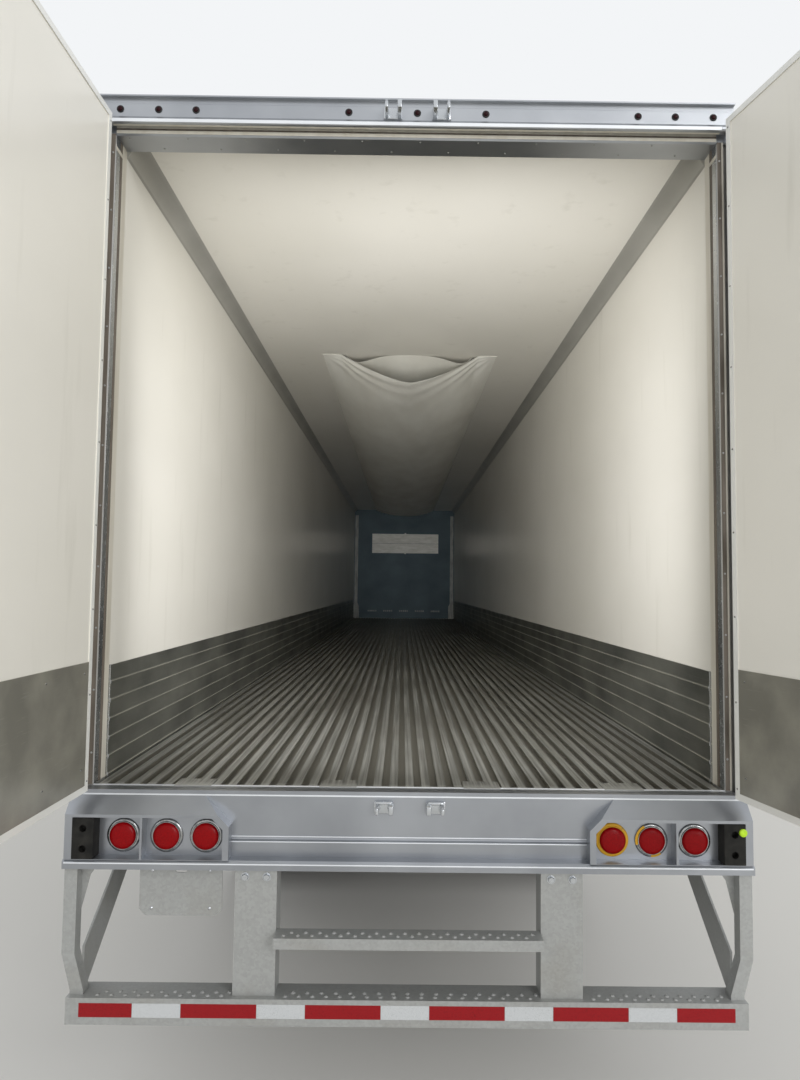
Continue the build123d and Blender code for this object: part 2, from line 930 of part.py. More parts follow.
def guard_posts():
    """Two channels from the sill to the beam, with the middle step between them."""
    wall = guard_wall
    back = post_back + post_depth
    section = outline(
        (post_inner, post_back), (post_outer, post_back), (post_outer, back), (post_outer - wall, back),
        (post_outer - wall, post_back + wall), (post_inner + wall, post_back + wall),
        (post_inner + wall, back), (post_inner, back),
    )
    post = run_z(section, (guard_top, sill_bottom))
    tread = step_bottom + step_height
    far = step_back + step_depth
    step = outline(
        (step_back, step_bottom), (step_back, tread), (far, tread), (far, step_bottom),
        (far - wall, step_bottom), (far - wall, tread - wall), (step_back + wall, tread - wall),
        (step_back + wall, step_bottom),
    )
    return [fuse(post, mirror(post, Plane.YZ), run_x(step, (-post_inner, post_inner)))]


def guard_struts():
    """Cranked outer struts with gussets, and long braces up to the floor frame."""
    outer = half - strut_inset
    inner = outer - strut_width
    foot_outer = guard_half - strut_foot_inset
    foot_inner = foot_outer - strut_foot_width
    leg = outline(
        (inner, sill_bottom), (outer, sill_bottom), (outer, strut_knee), (foot_outer, strut_toe),
        (foot_outer, guard_top), (foot_inner, guard_top), (foot_inner, strut_toe), (inner, strut_knee),
    )
    gusset = outline(
        (inner, sill_bottom), (inner, sill_bottom - gusset_drop),
        (inner - gusset_reach / 2, sill_bottom - gusset_drop / 4), (inner - gusset_reach, sill_bottom),
    )
    front = strut_y[1]
    brace_side = (guard_half - brace_inset - brace_thickness, guard_half - brace_inset)
    brace = outline(
        (front, guard_top), (front, brace_knee), (brace_reach, sill_bottom + gusset_reach),
        (brace_reach, member_bottom), (brace_reach + brace_width, member_bottom),
        (brace_reach + brace_width, member_bottom - guard_back_lip), (front + guard_back_lip, guard_top),
    )
    return both(fuse(run_y(leg, strut_y), run_y(gusset, (front - strut_web, front)),
                     run_x(brace, brace_side)))


def plate_bracket():
    """A blank holder for a registration plate under the sill."""
    left = plate_holder_inset - half
    right = left + plate_holder_width
    low = sill_bottom - plate_holder_height
    cut = plate_holder_corner
    middle = (left + right) / 2
    notch = plate_holder_notch
    holder = outline(
        (left, low + cut), (left, sill_bottom), (middle - notch, sill_bottom),
        (middle - notch / 2, sill_bottom - notch), (middle + notch / 2, sill_bottom - notch),
        (middle + notch, sill_bottom), (right, sill_bottom), (right, low + cut), (right - cut, low),
        (left + cut, low),
    )
    return [run_y(holder, (-plate_holder_half, plate_holder_half))]


# Coupler

def coupler():
    """The flat plate that rests on a tractor, on a grid of channels, with the kingpin welded in."""
    start = coupler_start
    end = front_y - 2 * coupler_sheet
    top = coupler_plane + coupler_sheet
    nose_low = coupler_plane + coupler_nose_rise
    plate = outline(
        (start, coupler_plane), (end - coupler_nose_length, coupler_plane), (end, nose_low),
        (end, nose_low + coupler_rib), (end - coupler_nose_length, top), (start, top),
    )
    whole = run_x(plate, (-coupler_half, coupler_half))
    for edge in (coupler_channel_x, coupler_half):
        for piece in both(block((edge - coupler_channel, edge), (start, end - coupler_nose_length),
                                (top, member_top))):
            whole += piece
    for k in range(coupler_rib_count):
        y = start + coupler_rib_pitch * k
        whole += block((-coupler_half, coupler_half), (y, y + coupler_rib), (top, member_top))
    whole += block((-coupler_half, coupler_half), (end - coupler_rib, end), (nose_low, member_top))
    return [whole + kingpin()]


def kingpin():
    """The pin: a shoulder, a waisted neck and a lip."""
    lengths = (kingpin_shoulder, kingpin_neck, kingpin_lip)
    radii = (kingpin_shoulder_radius, kingpin_neck_radius, kingpin_lip_radius)
    z = coupler_plane
    stages = []
    for length, radius in zip(lengths, radii):
        stages.append(rod((0, kingpin_y, z - length), (0, kingpin_y, z), radius))
        z -= length
    return fuse(*stages)


# Landing gear

def landing_legs():
    """Two telescopic legs: outer tube, inner tube, sand shoe, mounting plate and gearbox."""
    wide = leg_width / 2
    slim = leg_tube / 2
    foot = foot_size / 2
    leg = block((leg_x - wide, leg_x + wide), (landing_y - wide, landing_y + wide),
                (leg_joint, member_bottom))
    leg += block((leg_x - slim, leg_x + slim), (landing_y - slim, landing_y + slim),
                 (foot_height - leg_overlap, leg_joint))
    shoe = outline(
        (-foot, foot_toe), (-foot + foot_slope, 0), (foot - foot_slope, 0), (foot, foot_toe),
        (foot, foot_edge), (slim, foot_height), (-slim, foot_height), (-foot, foot_edge),
    )
    leg += Pos(0, landing_y, 0) * run_x(shoe, (leg_x - foot, leg_x + foot))
    leg += block((leg_x - wide - leg_plate, leg_x - wide),
                 (landing_y - leg_plate_half, landing_y + leg_plate_half),
                 (member_bottom - leg_plate_height, member_bottom))
    leg += block((leg_x + wide, leg_x + wide + gearbox_depth), (landing_y - slim, landing_y + slim),
                 gearbox_z)
    return both(leg)


def landing_braces():
    """The cross channel, the drive shaft, braces along the body, and the crank."""
    wide = leg_width / 2
    inner = leg_x - wide
    low, high = cross_channel_z
    edge, wall = cross_channel_half, cross_channel_wall
    channel = outline((-edge, low), (edge, low), (edge, low + wall), (wall - edge, low + wall),
                      (wall - edge, high - wall), (edge, high - wall), (edge, high), (-edge, high))
    pieces = [run_x(Pos(landing_y, 0) * channel, (-inner, inner))]
    pieces.append(bar((-inner, landing_y, drive_shaft_z), (inner, landing_y, drive_shaft_z),
                      drive_shaft_radius))
    brace = outline((wide, brace_low_z[0]), (wide, brace_low_z[1]), (brace_run, member_bottom),
                    (brace_run + brace_top, member_bottom))
    for x in (-leg_x, leg_x):
        side = (x - leg_brace_thickness / 2, x + leg_brace_thickness / 2)
        pieces.append(run_x(Pos(landing_y, 0) * brace, side))
    start = -leg_x - wide - gearbox_depth
    crank = bar((start, landing_y, crank_z), (-crank_throw_x, landing_y, crank_z), crank_radius)
    crank += block((-crank_throw_x - crank_throw_half, -crank_throw_x + crank_throw_half),
                   (landing_y - crank_throw_width, landing_y + crank_throw_width),
                   (crank_low, crank_z + crank_throw_width))
    grip_z = crank_low + crank_throw_width
    crank += bar((-crank_throw_x, landing_y, grip_z), (-crank_end, landing_y, grip_z), crank_radius)
    return pieces + [crank]


# Sliding frame and suspension

def slider_rails():
    """Body rails that the sliding frame is pinned under."""
    top = member_bottom - slider_flange
    web = rail_inner + slider_wall
    section = outline(
        (rail_inner, slider_bottom), (rail_outer, slider_bottom), (rail_outer, slider_bottom + slider_wall),
        (web, slider_bottom + slider_wall), (web, top), (rail_outer, top),
        (rail_outer, member_bottom), (rail_inner, member_bottom),
    )
    return both(run_y(section, (slider_start, slider_end)))


def bogie_frame():
    """The sliding frame's two side members, each with its two arm hangers."""
    start = rear_axle_y - bogie_overhang
    end = rear_axle_y + axle_spread + bogie_overhang
    web = rail_outer - bogie_wall
    low = bogie_bottom + bogie_wall
    top = slider_bottom - bogie_wall
    channel = outline(
        (rail_inner, bogie_bottom), (rail_outer, bogie_bottom), (rail_outer, slider_bottom),
        (rail_inner, slider_bottom), (rail_inner, top), (web, top), (web, low), (rail_inner, low),
    )
    side = run_y(channel, (start, end))
    for axle in axle_places:
        pivot = axle + arm_reach
        hanger = block((rail_inner, rail_outer), (pivot - hanger_rear, pivot + hanger_front),
                       (hanger_bottom, bogie_bottom))
        hanger -= block((rail_inner + hanger_wall, rail_outer - hanger_wall),
                        (pivot - hanger_rear - 1, pivot + hanger_front - hanger_wall),
                        (hanger_bottom - 1, hanger_slot_top))
        side += hanger
    return both(side)


def bogie_crossmembers():
    """Four box cross members between the side members' webs."""
    start = rear_axle_y - bogie_overhang
    edge = rail_outer - bogie_wall
    depth = (bogie_bottom + bogie_wall, slider_bottom - bogie_wall)
    return [block((-edge, edge), (start + y, start + y + cross_width), depth) for y in cross_places]


def trailing_arms():
    """Arms that carry the axles, each with its shock absorber."""
    arms = []
    section = outline(
        (arm_reach + 35, 75), (arm_reach + 35, 130), (axle_seat, 150), (-axle_seat, 150),
        (-spring_reach + 140, spring_seat), (-spring_reach - 60, spring_seat),
        (-spring_reach - 60, spring_seat - 20), (-axle_seat - 10, axle_seat_height),
        (axle_seat + 10, axle_seat_height),
    )
    for axle in axle_places:
        arm = run_x(Pos(axle, tyre_radius) * section, (arm_x - arm_half, arm_x + arm_half))
        back, rise = shock_low
        low = (arm_x, axle - back, tyre_radius + rise)
        high = (arm_x, axle - back - shock_lean, bogie_bottom - shock_eye)
        arm += bar(low, high, shock_radius)
        arm += block((arm_x - shock_eye, arm_x + shock_eye), (high[1] - shock_mount, high[1] + shock_mount),
                     (high[2] - 20, bogie_bottom))
        arms += both(arm)
    return arms


def air_springs():
    """Rolling-lobe springs between the arms and the side members."""
    springs = []
    base = tyre_radius + spring_seat
    height = bogie_bottom - base
    profile = [
        (0, 0), (0, spring_base_radius), (height * 0.3, spring_piston_radius),
        (height * 0.38, spring_bag_radius), (height * 0.8, spring_bag_radius), (height, spring_top_radius),
        (height, 0),
    ]
    for axle in axle_places:
        springs += both(turned(profile, spring_sides, upright((arm_x, axle - spring_reach, base))))
    return springs


def axles():
    """Round axles with spindles, dust shields and spring seats."""
    pieces = []
    z = tyre_radius
    shoulder = wheel_x - spindle_shoulder
    tip = wheel_x + spindle_tip
    shield = shield_x + shield_thickness
    profile = [
        (-shoulder, 0), (-shoulder, axle_radius), (-shield, axle_radius), (-shield, shield_radius),
        (-shield_x, shield_radius), (-shield_x, axle_radius), (shield_x, axle_radius),
        (shield_x, shield_radius), (shield, shield_radius), (shield, axle_radius), (shoulder, axle_radius),
        (shoulder, 0),
    ]
    spindle_radius = hub_bore - bearing_play
    for y in axle_places:
        axle = turned(profile, hub_sides, across((0, y, z)))
        axle += rod((-tip, y, z), (-shoulder, y, z), spindle_radius)
        axle += rod((shoulder, y, z), (tip, y, z), spindle_radius)
        for x in (-arm_x, arm_x):
            axle += block((x - arm_half, x + arm_half), (y - axle_seat, y + axle_seat),
                          (z - axle_seat_height, z + axle_seat_height))
        pieces.append(axle)
    return pieces


def brake_chambers():
    """Spring brake chambers, each on a bracket that clasps the axle."""
    chambers = []
    profile = [
        (0, 0), (0, chamber_radius - 18), (40, chamber_radius), (120, chamber_radius),
        (150, chamber_radius - 25), (chamber_length, chamber_radius - 28), (chamber_length, 0),
    ]
    for y in axle_places:
        back = y - chamber_back
        z = tyre_radius + chamber_rise
        chamber = turned(profile, 8, along((chamber_x, back, z), -1))
        bracket = block((chamber_x - chamber_bracket, chamber_x + chamber_bracket),
                        (back, y - axle_radius * cos(pi / hub_sides)),
                        (tyre_radius - chamber_drop, z + chamber_bracket))
        chambers += both(chamber + bracket)
    return chambers


def mud_flaps():
    """Flaps behind the wheels, each on a bar from the sliding frame."""
    y = rear_axle_y - flap_setback
    carrier = block((rail_outer, wheel_x + flap_half), (y - flap_bar_depth, y), flap_bar_z)
    flap = block((wheel_x - flap_half, wheel_x + flap_half), (y - flap_thickness, y),
                 (flap_bottom, flap_bar_z[0] + 1))
    return both(carrier + flap)


def fuel_tank():
    """A round tank hung on two saddles, with its straps."""
    radius, length = tank_radius, tank_length
    y = landing_y - tank_setback
    tank_x = half - tank_inset
    z = member_bottom - tank_drop
    lip = radius + tank_strap
    strap_end = tank_strap_at + tank_strap_width
    bevel, bevel_drop = tank_end_bevel
    profile = [
        (0, 0), (0, radius - bevel_drop), (bevel, radius), (tank_strap_at, radius), (tank_strap_at, lip),
        (strap_end, lip), (strap_end, radius), (length - strap_end, radius), (length - strap_end, lip),
        (length - tank_strap_at, lip), (length - tank_strap_at, radius), (length - bevel, radius),
        (length, radius - bevel_drop), (length, 0),
    ]
    tank = turned(profile, tank_sides, along((tank_x, y, z)))
    for low in (tank_strap_at + saddle_inset, length - strap_end + saddle_inset):
        tank += block((tank_x - saddle_half, tank_x + saddle_half), (y + low, y + low + saddle_width),
                      (z + saddle_rise, member_bottom))
    return [tank]


# Wheels

def tyre_pair(side, axle):
    """Two tyres, flat-sided rounds with shoulders, crown and bulged walls."""
    bulge = tyre_width / 2
    bead = rim_width / 2
    half_profile = [
        (bead, rim_radius), (bulge, tyre_wall_radius), (bulge - tyre_shoulder_inset, tyre_shoulder_radius),
        (bulge - tyre_crown_inset, tyre_radius),
    ]
    profile = [(-across_x, radius) for across_x, radius in half_profile] + half_profile[::-1]
    centres = [side * (wheel_x + offset) for offset in (-dual_offset, dual_offset)]
    return [turned(profile, wheel_sides, across((x, axle, tyre_radius))) for x in centres]


def rim_pair(side, axle):
    """Twin disc wheels back to back on a hub with its brake drum and cap, as one casting."""
    outer = dual_offset + rim_width / 2
    edge = outer + rim_lip
    flange = rim_radius + rim_flange
    half_profile = [
        (outer, rim_radius), (edge, flange), (edge, rim_radius - rim_lip_depth),
        (disc_edge, disc_edge_radius), (disc_half, disc_bolt_radius), (disc_half, disc_bore_radius),
    ]
    rims = half_profile + [(-across_x, radius) for across_x, radius in half_profile[::-1]]
    bore_corner = hub_bore / cos(pi / hub_sides)
    drum = [
        (-drum_back, drum_radius - drum_wall), (-drum_back, drum_radius), (-drum_front, drum_radius),
        (hub_neck, hub_radius), (hub_cap, hub_cap_radius), (hub_cap, 0), (hub_cap - hub_cap_wall, 0),
        (hub_cap - hub_cap_wall, bore_corner), (-drum_front, bore_corner),
        (-drum_front, drum_radius - drum_wall),
    ]
    place = across((side * wheel_x, axle, tyre_radius), side)
    return [turned(rims, wheel_sides, place) + turned(drum, hub_sides, place)]


# Refrigeration unit

def unit_housing():
    """A moulded cover with round edges, open towards the nose wall."""
    front = body_length + unit_depth
    shell = block((-unit_half, unit_half), (body_length, front), (unit_bottom, unit_top))
    edges = shell.edges().filter_by(Axis.Z).group_by(Axis.Y)[-1]
    edges += shell.edges().filter_by(Axis.X).group_by(Axis.Y)[-1]
    shell = fillet(edges, unit_round)
    inside = unit_half - unit_shell
    return [shell - block((-inside, inside), (body_length - 1, front - unit_front_shell),
                          (unit_bottom + unit_shell, unit_top - unit_shell))]


def unit_engine():
    """The engine and compressor as one plain block on the housing's floor."""
    low = unit_bottom + unit_shell
    back, front = engine_gap
    return [block(engine_x, (body_length + back, body_length + unit_depth - front),
                  (low, low + engine_height))]


def unit_grille():
    """A louvred panel on the housing's front face."""
    face = body_length + unit_depth
    high = unit_top - grille_drop
    low = high - grille_height
    pitch = grille_height / grille_slats
    points = [(face, low)]
    for k in range(grille_slats):
        z = low + pitch * k
        points += [(face + grille_depth, z), (face + grille_back, z + pitch - grille_gap)]
    points += [(face, high)]
    grille = run_x(outline(*points), (-grille_half, grille_half))
    for x in (-grille_half - grille_frame, grille_half):
        grille += block((x, x + grille_frame), (face, face + grille_frame_depth), (low, high))
    return [grille]


def service_connectors():
    """Two air couplings and the lamp socket on a plate on the nose's bottom rail."""
    face = body_length + front_rail_thickness
    high = core_top + front_rail_rise - connector_drop
    middle = high - connector_height / 2
    front = face + connector_plate
    plate = block((-connector_half, connector_half), (face, front), (high - connector_height, high))
    for x in (-coupling_x, coupling_x):
        seat = along((x, front - 1, middle))
        radius = coupling_radius
        plate += turned([(0, 0), (0, radius), (30, radius), (coupling_length, radius - 8),
                         (coupling_length, 0)], 8, seat)
        plate += block((x - radius / 2, x + radius / 2), (face + 45, face + coupling_length),
                       (middle - 60, middle))
    seat = along((0, front - 1, middle))
    plate += turned([(0, 0), (0, socket_radius), (socket_length, socket_radius - 4),
                     (socket_length, 0)], 8, seat)
    flap = socket_radius + 2
    plate += block((-flap, flap), (face + socket_length, face + socket_length + 10),
                   (middle - flap, middle + flap))
    return [plate]


# Doors, modelled closed on the right side

def door_panel():
    """A thick panel with a raised trim round its inner face."""
    free = door_middle_gap / 2
    inner = door_back - door_liner
    slab = block((free, door_edge), (door_face, inner), (door_bottom, door_top))
    rim = block((free, door_edge), (inner, door_back), (door_bottom, door_top))
    rim -= block((free + door_trim, door_edge - door_trim), (inner - 1, door_back + 1),
                 (door_bottom + door_trim, door_top - door_trim))
    return slab + rim


def door_scuff():
    """The metal sheet on the foot of a door's inner face."""
    free = door_middle_gap / 2
    return block((free + door_trim, door_edge - door_trim), (door_back - door_liner, door_back),
                 (door_bottom + door_trim, door_bottom + door_scuff_height))


def door_hardware():
    """Hinge straps with their knuckles, the lock rod with guides and the handle."""
    start = hinge_x - strap_length
    under = door_face - strap_thickness
    strap = outline((start, door_face), (door_edge, door_face), *nose(*knuckle_angles),
                    (door_edge - door_side_gap, under), (start, under))
    hole = Pos(hinge_x, hinge_y) * RegularPolygon(hinge_pin + hinge_play, 8, major_radius=False)
    pieces = [run_z(strap - hole, (low, low + hinge_height)) for low in hinge_heights()]
    lock = bar((lock_x, lock_y, lock_low), (lock_x, lock_y, lock_high), lock_radius)
    wide = lock_guide_width / 2
    low = door_bottom + lock_guide_inset
    high = door_top - lock_guide_inset - lock_guide_height
    for k in range(lock_guide_count):
        z = low + (high - low) * k / (lock_guide_count - 1)
        lock += block((lock_x - wide, lock_x + wide), (door_face - lock_guide_depth, door_face),
                      (z, z + lock_guide_height))
    z = door_bottom + handle_rise
    end = lock_x + handle_length
    lock += block((lock_x, end), (lock_y - handle_thickness, lock_y), (z, z + handle_height))
    lock += block((end - handle_catch - 10, end - 10), (lock_y - 1, door_face),
                  (z - 10, z + handle_height + 10))
    return pieces + [lock]


def opened(solid, side):
    """The closed right door's piece, mirrored for the left side, at its open place."""
    angle = right_door_angle if side > 0 else left_door_angle
    turned_out = Pos(hinge_x, hinge_y) * Rot(0, 0, angle) * Pos(-hinge_x, -hinge_y) * solid
    return turned_out if side > 0 else mirror(turned_out, Plane.YZ)


# Nodes

nodes = {
    "floor_deck": floor_deck(),
    "floor_core": floor_core(),
    "crossmembers": crossmembers(),
    "side_wall_right": [side_wall()],
    "side_wall_left": [mirror(side_wall(), Plane.YZ)],
    "roof_panel": roof_panel(),
    "front_wall": front_wall(),
    "corner_posts": corner_posts(),
    "side_rails": side_rails(),
    "scuff_liners": scuff_liners(),
    "ceiling_coves": ceiling_coves(),
    "bulkhead": bulkhead(),
    "bulkhead_posts": bulkhead_posts(),
    "bulkhead_panels": bulkhead_panels(),
    "air_chute": air_chute(),
    "rear_header": rear_header(),
    "rear_posts": both(rear_post()),
    "rear_sill": rear_sill(),
    "tail_lamps": tail_lamps(),
    "dock_pads": dock_pads(),
    "marker_lamps_red": marker_lamps_red(),
    "marker_lamps_amber": marker_lamps_amber(),
    "guard_beam": guard_beam(),
    "guard_posts": guard_posts(),
    "guard_struts": guard_struts(),
    "plate_bracket": plate_bracket(),
    "coupler": coupler(),
    "landing_legs": landing_legs(),
    "landing_braces": landing_braces(),
    "slider_rails": slider_rails(),
    "bogie_frame": bogie_frame(),
    "bogie_crossmembers": bogie_crossmembers(),
    "trailing_arms": trailing_arms(),
    "air_springs": air_springs(),
    "axles": axles(),
    "brake_chambers": brake_chambers(),
    "mud_flaps": mud_flaps(),
    "fuel_tank": fuel_tank(),
    "unit_housing": unit_housing(),
    "unit_engine": unit_engine(),
    "unit_grille": unit_grille(),
    "service_connectors": service_connectors(),
}
for name, side in (("left", -1), ("right", 1)):
    nodes[f"door_{name}_panel"] = [opened(door_panel(), side)]
    nodes[f"door_{name}_scuff"] = [opened(door_scuff(), side)]
    nodes[f"door_{name}_hardware"] = [opened(piece, side) for piece in door_hardware()]
    for end, axle in zip(("rear", "front"), axle_places):
        nodes[f"tyres_{end}_{name}"] = tyre_pair(side, axle)
        nodes[f"rims_{end}_{name}"] = rim_pair(side, axle)

os.makedirs("parts", exist_ok=True)
home = Pos(0, -kingpin_y, -coupler_plane)
for name, solids in nodes.items():
    moved = [home * solid for solid in solids]
    flat = [part for shape in moved for part in shape.solids()]
    export_step(Compound(children=flat) if len(flat) > 1 else flat[0], f"parts/{name}.step")
print(len(nodes), "nodes")
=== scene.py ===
import bpy
import math
from mathutils import Matrix, Vector


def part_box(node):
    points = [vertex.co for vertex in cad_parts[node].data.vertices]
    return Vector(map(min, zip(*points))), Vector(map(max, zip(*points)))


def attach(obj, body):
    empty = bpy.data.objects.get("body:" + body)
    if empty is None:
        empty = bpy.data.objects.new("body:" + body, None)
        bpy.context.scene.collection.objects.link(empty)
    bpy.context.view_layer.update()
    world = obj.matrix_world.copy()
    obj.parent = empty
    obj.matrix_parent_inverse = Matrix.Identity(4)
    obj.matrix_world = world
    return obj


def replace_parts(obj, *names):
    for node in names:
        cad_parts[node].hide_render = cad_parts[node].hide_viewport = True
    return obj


# Looks of a refrigerated box semi trailer, parked on its landing legs with both rear doors open.
# Metres. The origin is on the kingpin, +Y runs forward and +Z up.

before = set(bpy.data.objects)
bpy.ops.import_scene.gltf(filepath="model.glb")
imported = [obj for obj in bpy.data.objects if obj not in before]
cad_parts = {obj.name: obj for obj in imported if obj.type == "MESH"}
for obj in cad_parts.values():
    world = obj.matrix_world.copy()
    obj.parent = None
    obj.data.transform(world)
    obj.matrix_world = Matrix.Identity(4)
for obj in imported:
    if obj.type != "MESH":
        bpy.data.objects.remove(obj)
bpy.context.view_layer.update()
bpy.ops.object.select_all(action="DESELECT")
print("frame loaded,", len(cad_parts), "nodes")

# Places are given in millimetres: x from the middle, y ahead of the rear face, z above the ground
millimetre = 0.001
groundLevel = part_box("landing_legs")[0].z
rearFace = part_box("side_rails")[0].y - 165 * millimetre
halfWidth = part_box("side_rails")[1].x / millimetre
floorTop = 1347
sillBottom = 1068
ceilingLevel = 4020
roofTop = 4095
headerTop = 4115
wallInner = 1238
postInner, postOuter = 495, 652
axlePlaces = {"rear": 3050, "front": 4295}
tyreRadius = 510
wheelX = 984
wheelPlaces = {f"{end}_{name}": (side, axle) for end, axle in axlePlaces.items()
               for name, side in (("left", -1), ("right", 1))}


def at(x, y, z):
    return Vector((x * millimetre, rearFace + y * millimetre, groundLevel + z * millimetre))


def mm(*values):
    return Vector(values) * millimetre


# Camera, floor and light

camera = {
    "place": (-38.9, -2960.1, 2134.3), "pitch": 3.471, "yaw": 0.279, "roll": 0.675, "focalPixels": 754.1,
    "pictureHeight": 1080, "shiftPixels": (6.4, 0.5), "sensor": 36.0,
}


def setCamera():
    data = bpy.data.cameras.new("rearCamera")
    data.sensor_width = camera["sensor"]
    data.lens = camera["focalPixels"] / camera["pictureHeight"] * camera["sensor"]
    data.shift_x = -camera["shiftPixels"][0] / camera["pictureHeight"]
    data.shift_y = camera["shiftPixels"][1] / camera["pictureHeight"]
    data.clip_end = 200
    lens = bpy.data.objects.new("rearCamera", data)
    bpy.context.scene.collection.objects.link(lens)
    turn = (
        Matrix.Rotation(math.radians(-camera["yaw"]), 4, "Z")
        @ Matrix.Rotation(math.radians(90 + camera["pitch"]), 4, "X")
        @ Matrix.Rotation(math.radians(camera["roll"]), 4, "Z")
    )
    lens.matrix_world = Matrix.Translation(at(*camera["place"])) @ turn
    bpy.context.scene.camera = lens


def toLinear(code):
    channels = [int(code[k:k + 2], 16) / 255 for k in (1, 3, 5)]
    return [c / 12.92 if c <= 0.04045 else ((c + 0.055) / 1.055) ** 2.4 for c in channels] + [1.0]


def addNode(tree, kind, inputs={}, output=0, into=None, stops=(), **settings):
    # inputs maps a socket to a value or to another node's output, into is the socket that the result goes to,
    # and stops are the places and colours on a ramp
    node = tree.nodes.new("ShaderNode" + kind)
    for name, value in settings.items():
        setattr(node, name, value)
    for name, value in inputs.items():
        if isinstance(value, bpy.types.NodeSocket):
            tree.links.new(value, node.inputs[name])
        else:
            node.inputs[name].default_value = value
    if stops:
        for element, (position, code) in zip(node.color_ramp.elements, stops):
            element.position, element.color = position, toLinear(code)
    if into:
        tree.links.new(node.outputs[output], into)
    return node.outputs[output]


def grain(tree, place, cells, detail):
    # a noise pattern whose cells are so many millimetres long: one length, or one each in x, y and z
    lengths = cells if isinstance(cells, tuple) else (cells,) * 3
    scaled = addNode(tree, "Mapping", {"Vector": place, "Scale": [1000 / length for length in lengths]})
    return addNode(tree, "TexNoise", {"Vector": scaled, "Scale": 1.0, "Detail": detail})


def painted(piece, material):
    piece.data.materials.clear()
    piece.data.materials.append(material)
    return piece


def addMarks(tree, into, value, span, amounts, code):
    # lays a colour over what the socket shows so far, by amounts that run with the value over its span
    share = addNode(tree, "MapRange", {"Value": value, "From Min": span[0], "From Max": span[1],
                                       "To Min": amounts[0], "To Max": amounts[1]})
    addNode(tree, "Mix", {0: share, 6: into.links[0].from_socket, 7: toLinear(code)}, 2, into,
            data_type="RGBA")


def finish(name, code, rough, metal=0.0, specular=0.5, coat=0.0, mottle=None, marks=None, sheen=None,
           relief=None, cells=None, pattern=None, nodes=""):
    # a surface from its shader's own values and from noise, whose cells and detail come first in each tuple.
    # Then mottle has two colours and maybe their places on the ramp, marks a span, the most and a colour,
    # sheen the least and the most roughness, and relief a depth in metres.
    # Cells are a net's size, feature, depth and stops.
    material = bpy.data.materials.new(name)
    material.use_nodes = True
    tree = material.node_tree
    sockets = tree.nodes["Principled BSDF"].inputs
    for socket, value in (("Base Color", toLinear(code)), ("Roughness", rough), ("Metallic", metal),
                          ("Specular IOR Level", specular), ("Coat Weight", coat)):
        sockets[socket].default_value = value
    place = addNode(tree, "TexCoord", output="Object")
    if mottle:
        size, detail, dark, light, *ends = mottle
        start, end = ends or (0.3, 0.7)
        addNode(tree, "ValToRGB", {"Fac": grain(tree, place, size, detail)},
                into=sockets["Base Color"], stops=((start, dark), (end, light)))
    if marks:
        size, detail, span, most, over = marks
        addMarks(tree, sockets["Base Color"], grain(tree, place, size, detail), span, (0.0, most), over)
    if sheen:
        size, detail, least, most = sheen
        addNode(tree, "MapRange", {"Value": grain(tree, place, size, detail), "To Min": least,
                                   "To Max": most}, into=sockets["Roughness"])
    if relief:
        size, detail, depth = relief
        addNode(tree, "Bump", {"Height": grain(tree, place, size, detail), "Distance": depth},
                into=sockets["Normal"])
    if cells:
        size, feature, depth, *stops = cells
        net = addNode(tree, "TexVoronoi", {"Vector": place, "Scale": 1000 / size}, feature=feature)
        addNode(tree, "ValToRGB", {"Fac": net}, into=sockets["Base Color"], stops=stops)
        addNode(tree, "Bump", {"Height": net, "Distance": depth}, into=sockets["Normal"])
    if pattern:
        pattern(tree, place, sockets)
    for node in nodes.split():
        painted(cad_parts[node], material)
    return material


stage = {
    "floor": "#d6d4cf", "floorSize": 260, "sky": "#f3f5f7", "skyStrength": 0.9,
    # power, place, aim, shape, size in metres and spread. The last two are the light that comes in at the
    # doorway, wide and deep: they reach only what is inside
    "lamps": {
        "softKey": (1150, (9000, -14000, 7500), (-1000, 1000, 2200), "DISK", (9.0, 9.0), 180),
        "softFill": (600, (-1000, -20000, 3400), (0, 9000, 2600), "RECTANGLE", (14.0, 7.0), 180),
        "doorwayLight": (34, (-20, 75, 2570), (250, 6000, 2850), "RECTANGLE", (1.8, 2.0), 150),
        "deepLight": (4.4, (0, 250, 2550), (0, 9000, 2650), "RECTANGLE", (1.8, 2.0), 22),
    },
    "seenLamp": "softKey",
}


def setStage():
    world = bpy.data.worlds.new("studio")
    bpy.context.scene.world = world
    world.use_nodes = True
    tree = world.node_tree
    background = tree.nodes["Background"]
    path = addNode(tree, "LightPath").node.outputs
    seen = addNode(tree, "Math", {0: path["Is Camera Ray"], 1: path["Is Glossy Ray"]},
                   operation="MAXIMUM")
    also = addNode(tree, "Math", {0: seen, 1: path["Is Transmission Ray"]}, operation="MAXIMUM")
    background.inputs["Color"].default_value = toLinear(stage["sky"])
    addNode(tree, "MapRange", {"Value": also, "To Min": stage["skyStrength"], "To Max": 1.0},
            into=background.inputs["Strength"])
    bpy.ops.mesh.primitive_plane_add(size=stage["floorSize"], location=(0, 0, groundLevel))
    floor = bpy.context.object
    floor.name = "studioFloor"
    floor.data.materials.append(finish("paleFloorPaint", stage["floor"], 0.75))
    for name, (power, place, aim, shape, size, spread) in stage["lamps"].items():
        data = bpy.data.lights.new(name, "AREA")
        data.shape = shape
        data.energy = power
        data.size, data.size_y = size
        data.spread = math.radians(spread)
        lamp = bpy.data.objects.new(name, data)
        bpy.context.scene.collection.objects.link(lamp)
        lamp.location = at(*place)
        lamp.rotation_euler = (at(*aim) - at(*place)).to_track_quat("-Z", "Y").to_euler()
        if name != stage["seenLamp"]:
            lamp.visible_glossy = False
            lamp.visible_camera = False


setCamera()
setStage()
bpy.context.scene.view_settings.view_transform = "Standard"
print("camera, floor and light set")


# Materials

